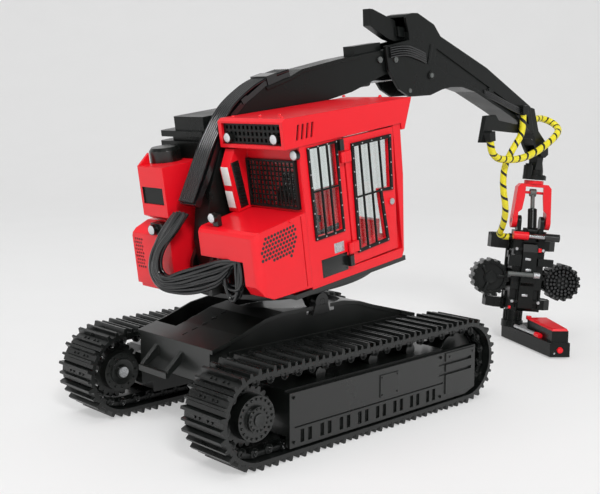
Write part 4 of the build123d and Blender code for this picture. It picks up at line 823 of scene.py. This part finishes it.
# Silver bars on the rib's steps: a painted highlight, in the place of the light that the steps catch.
for y, z, x in ((0.6, -36.4, -5.0), (0.2, -40.0, -5.0), (0.4, -48.6, -4.2)):
    plate(form, at(HEAD, (x, y, z)), (0.5, 1.9, 0.8), 0.12)
turned_form(form, at(SAW, (-5.4, 0.4, 1.1)), 1.5, 0.5, 1.25, 20)
turned_form(form, at(SAW, (-5.4, 0.4, 1.6)), 1.25, 0.5, 0.5, 20)
turned_form(form, at(SAW, (-26.9, -5.0, -2.2), "-X"), 0.35, 0.3, 0.25, 8)
piece(form, "head_bright_screws_and_painted_highlights", silver_paint, "head")
form = bmesh.new()
rod_from(form, SAW, (-17.6, -1.3, 1.8), (-20.2, -2.16, 1.8), 0.85)
turned_form(form, at(SAW, (-26.9, -6.8, -1.2), "-X"), 1.05, 0.45, 0.85, 20)
plate(form, at(HEAD, (-3.6, -1.9, -56.0)), (1.6, 1.6, 1.3), 0.2)
plate(form, at(HEAD, (-4.0, -3.3, -33.2)), (0.6, 1.2, 1.4), 0.15)
plate(form, at(HEAD, (-3.2, 4.9, -53.0)), (0.9, 0.8, 1.0), 0.15)
piece(form, "head_red_caps", red_enamel, "head")

# %% [markdown]
# The two feed rollers differ. The left one shows a dished face with three spokes and a row of fine teeth
# round its rim, and the right one is covered in rubber studs, set in rings about its middle. Each face
# rides on its own roller and spins with it.

# %% Faces of the feed rollers
ROLLER_X, ROLLER_Y, ROLLER_Z = -3.2, 12.0, -43.5   # mm in the head's frame
form = bmesh.new()
hub = at(HEAD, (ROLLER_X, ROLLER_Y, ROLLER_Z), "-X")
for spoke in range(3):
    spot = hub @ Matrix.Rotation(math.radians(35 + 120 * spoke), 4, "Z")
    plate(form, spot @ Matrix.Translation((3.35 * MM, 0.3 * MM, -0.3 * MM)), (2.7, 1.1, 0.9), 0.2)
countersunk(form, hub, 1.9, 0.3, 0.9, 20)
ring_of(form, hub, 30, 5.2, 0.35, 0.25, 6)
piece(form, "left_roller_face", dull_black, "feed_roller_left")
form = bmesh.new()
hub = at(HEAD, (ROLLER_X, -ROLLER_Y, ROLLER_Z), "-X")
for count, distance, base in ((1, 0.0, 0.0), (6, 1.4, 0.0), (14, 2.8, -0.9), (18, 3.9, -0.9), (26, 5.2, 0.0)):
    ring_of(form, hub @ Matrix.Translation((0, 0, base * MM)), count, distance, 0.62, 0.6 - base, 7)
piece(form, "right_roller_studs", black_vinyl, "feed_roller_right")

# %% [markdown]
# ## Light
# The photograph has a sheet of white paper under and behind the model. In a studio that is one roll of
# paper that sweeps up into a wall, so here it is a grid whose far edge is pulled up, with a wide round
# bevel in the corner. It reaches far enough for a look from any side.

# %% Backdrop
REACH, HALF_WIDTH, WALL, CORNER = 2.5, 4.0, 1.6, 0.5   # m
SWEEP = Matrix.Rotation(yaw, 4, "Z")
form = bmesh.new()
bmesh.ops.create_grid(
    form, x_segments=1, y_segments=1, size=1.0, matrix=at(ROW, (0, 0, FLOOR / MM)) @ SWEEP)
far = [e for e in form.edges if all(abs((SWEEP.inverted() @ v.co).x - 1.0) < 0.01 for v in e.verts)]
wall = bmesh.ops.extrude_edge_only(form, edges=far)["geom"]
bmesh.ops.translate(form, verts=[v for v in wall if isinstance(v, bmesh.types.BMVert)], vec=(0, 0, WALL))
bmesh.ops.bevel(form, geom=far, offset=CORNER, segments=16, profile=0.5, affect="EDGES", material=-1)
for corner in form.verts:
    spot = SWEEP.inverted() @ corner.co
    near = spot.x < -0.9
    corner.co = SWEEP @ Vector((spot.x - REACH if near else spot.x, HALF_WIDTH * spot.y, spot.z))
floor_mesh = bpy.data.meshes.new("floor")
form.to_mesh(floor_mesh)
form.free()
floor_mesh.shade_smooth()
floor = bpy.data.objects.new("floor", floor_mesh)
scene.collection.objects.link(floor)
print("backdrop faces", len(floor_mesh.polygons))

# %% [markdown]
# The paper is lit like everything else and takes the model's shadow. A part of its white is a glow that
# the camera and the model's reflections see, but that lights nothing, so the background comes out near
# white while the lamps stay at a plain level.

# %% Paper
GLOW = 0.45   # the part of the paper's white that is glow
white_sheet, tree, shader, place = finish("white_paper_sheet", Roughness=0.7)
fibres = add(tree, "ShaderNodeTexNoise", {"Vector": place, "Scale": 30.0, "Detail": 3.0})
tree.links.new(between(tree, fibres.outputs["Fac"], "e9e9e9", "eeeeee"), shader.inputs["Base Color"])
glow = add(tree, "ShaderNodeEmission", {"Color": linear("f1f1f1"), "Strength": 1.0})


def shown_rays(tree):
    """A socket that is 1 for camera, mirror and window rays, and 0 for rays that only bring light."""
    rays = add(tree, "ShaderNodeLightPath").outputs
    mirrored = add(tree, "ShaderNodeMath", {
        0: rays["Is Glossy Ray"], 1: rays["Is Transmission Ray"]}, operation="MAXIMUM")
    return add(tree, "ShaderNodeMath", {
        0: rays["Is Camera Ray"], 1: mirrored.outputs["Value"]}, operation="MAXIMUM").outputs["Value"]


part = add(tree, "ShaderNodeMath", {0: shown_rays(tree), 1: GLOW}, operation="MULTIPLY")
paper = add(tree, "ShaderNodeMixShader", {
    0: part.outputs["Value"], 1: shader.outputs["BSDF"], 2: glow.outputs["Emission"]})
output = next(n for n in tree.nodes if n.type == "OUTPUT_MATERIAL")
tree.links.new(paper.outputs["Shader"], output.inputs["Surface"])
floor_mesh.materials.append(white_sheet)

# %% [markdown]
# The world is the room around the sheet. As a light it is an even, gentle white. What the camera and the
# reflections see of it is pale at the height of the sheet and dark overhead, like a room with its ceiling
# lamps off, and that keeps the black paint black.

# %% Room
world = bpy.data.worlds.new("world")
scene.world = world
world.use_nodes = True
tree = world.node_tree
tree.nodes.clear()
height = add(tree, "ShaderNodeSeparateXYZ", {"Vector": add(tree, "ShaderNodeTexCoord").outputs["Generated"]})
ceiling = add(tree, "ShaderNodeMapRange", {
    "Value": height.outputs["Z"], "From Min": 0.10, "From Max": 0.45})
room = between(tree, ceiling.outputs["Result"], "e4e4e4", "2c2d2e")
lit = add(tree, "ShaderNodeBackground", {"Color": linear("f4f4f4"), "Strength": 0.58})
shown = add(tree, "ShaderNodeBackground", {"Color": room, "Strength": 1.0})
both = add(tree, "ShaderNodeMixShader", {
    0: shown_rays(tree), 1: lit.outputs["Background"], 2: shown.outputs["Background"]})
add(tree, "ShaderNodeOutputWorld", {"Surface": both.outputs["Shader"]})
print("room", len(tree.nodes), "nodes")

# %% [markdown]
# Three soft lamps stand round the model. The key, from the camera's right, draws the edges of the black
# parts and throws the shadow to the left, the fill opens the left side, and a broad one overhead lights
# the tops.

# %% Lamps
def soft_lamp(name, place, target, size, watts):
    """A square lamp that looks at a point."""
    data = bpy.data.lights.new(name, "AREA")
    data.size = size
    data.energy = watts
    lamp = bpy.data.objects.new(name, data)
    lamp.location = place
    lamp.rotation_euler = (Vector(target) - Vector(place)).to_track_quat("-Z", "Y").to_euler()
    scene.collection.objects.link(lamp)
    print("lamp", name, watts, "W")


cab_height = (0.0, 0.0, 0.03)
soft_lamp("key", (-0.30, -0.55, 0.50), cab_height, 0.16, 3.4)
soft_lamp("fill", (-0.75, 0.25, 0.40), cab_height, 0.4, 1.2)
soft_lamp("top", (-0.10, 0.05, 0.80), (0.0, 0.0, 0.0), 0.5, 1.5)
scene.view_settings.view_transform = "Standard"
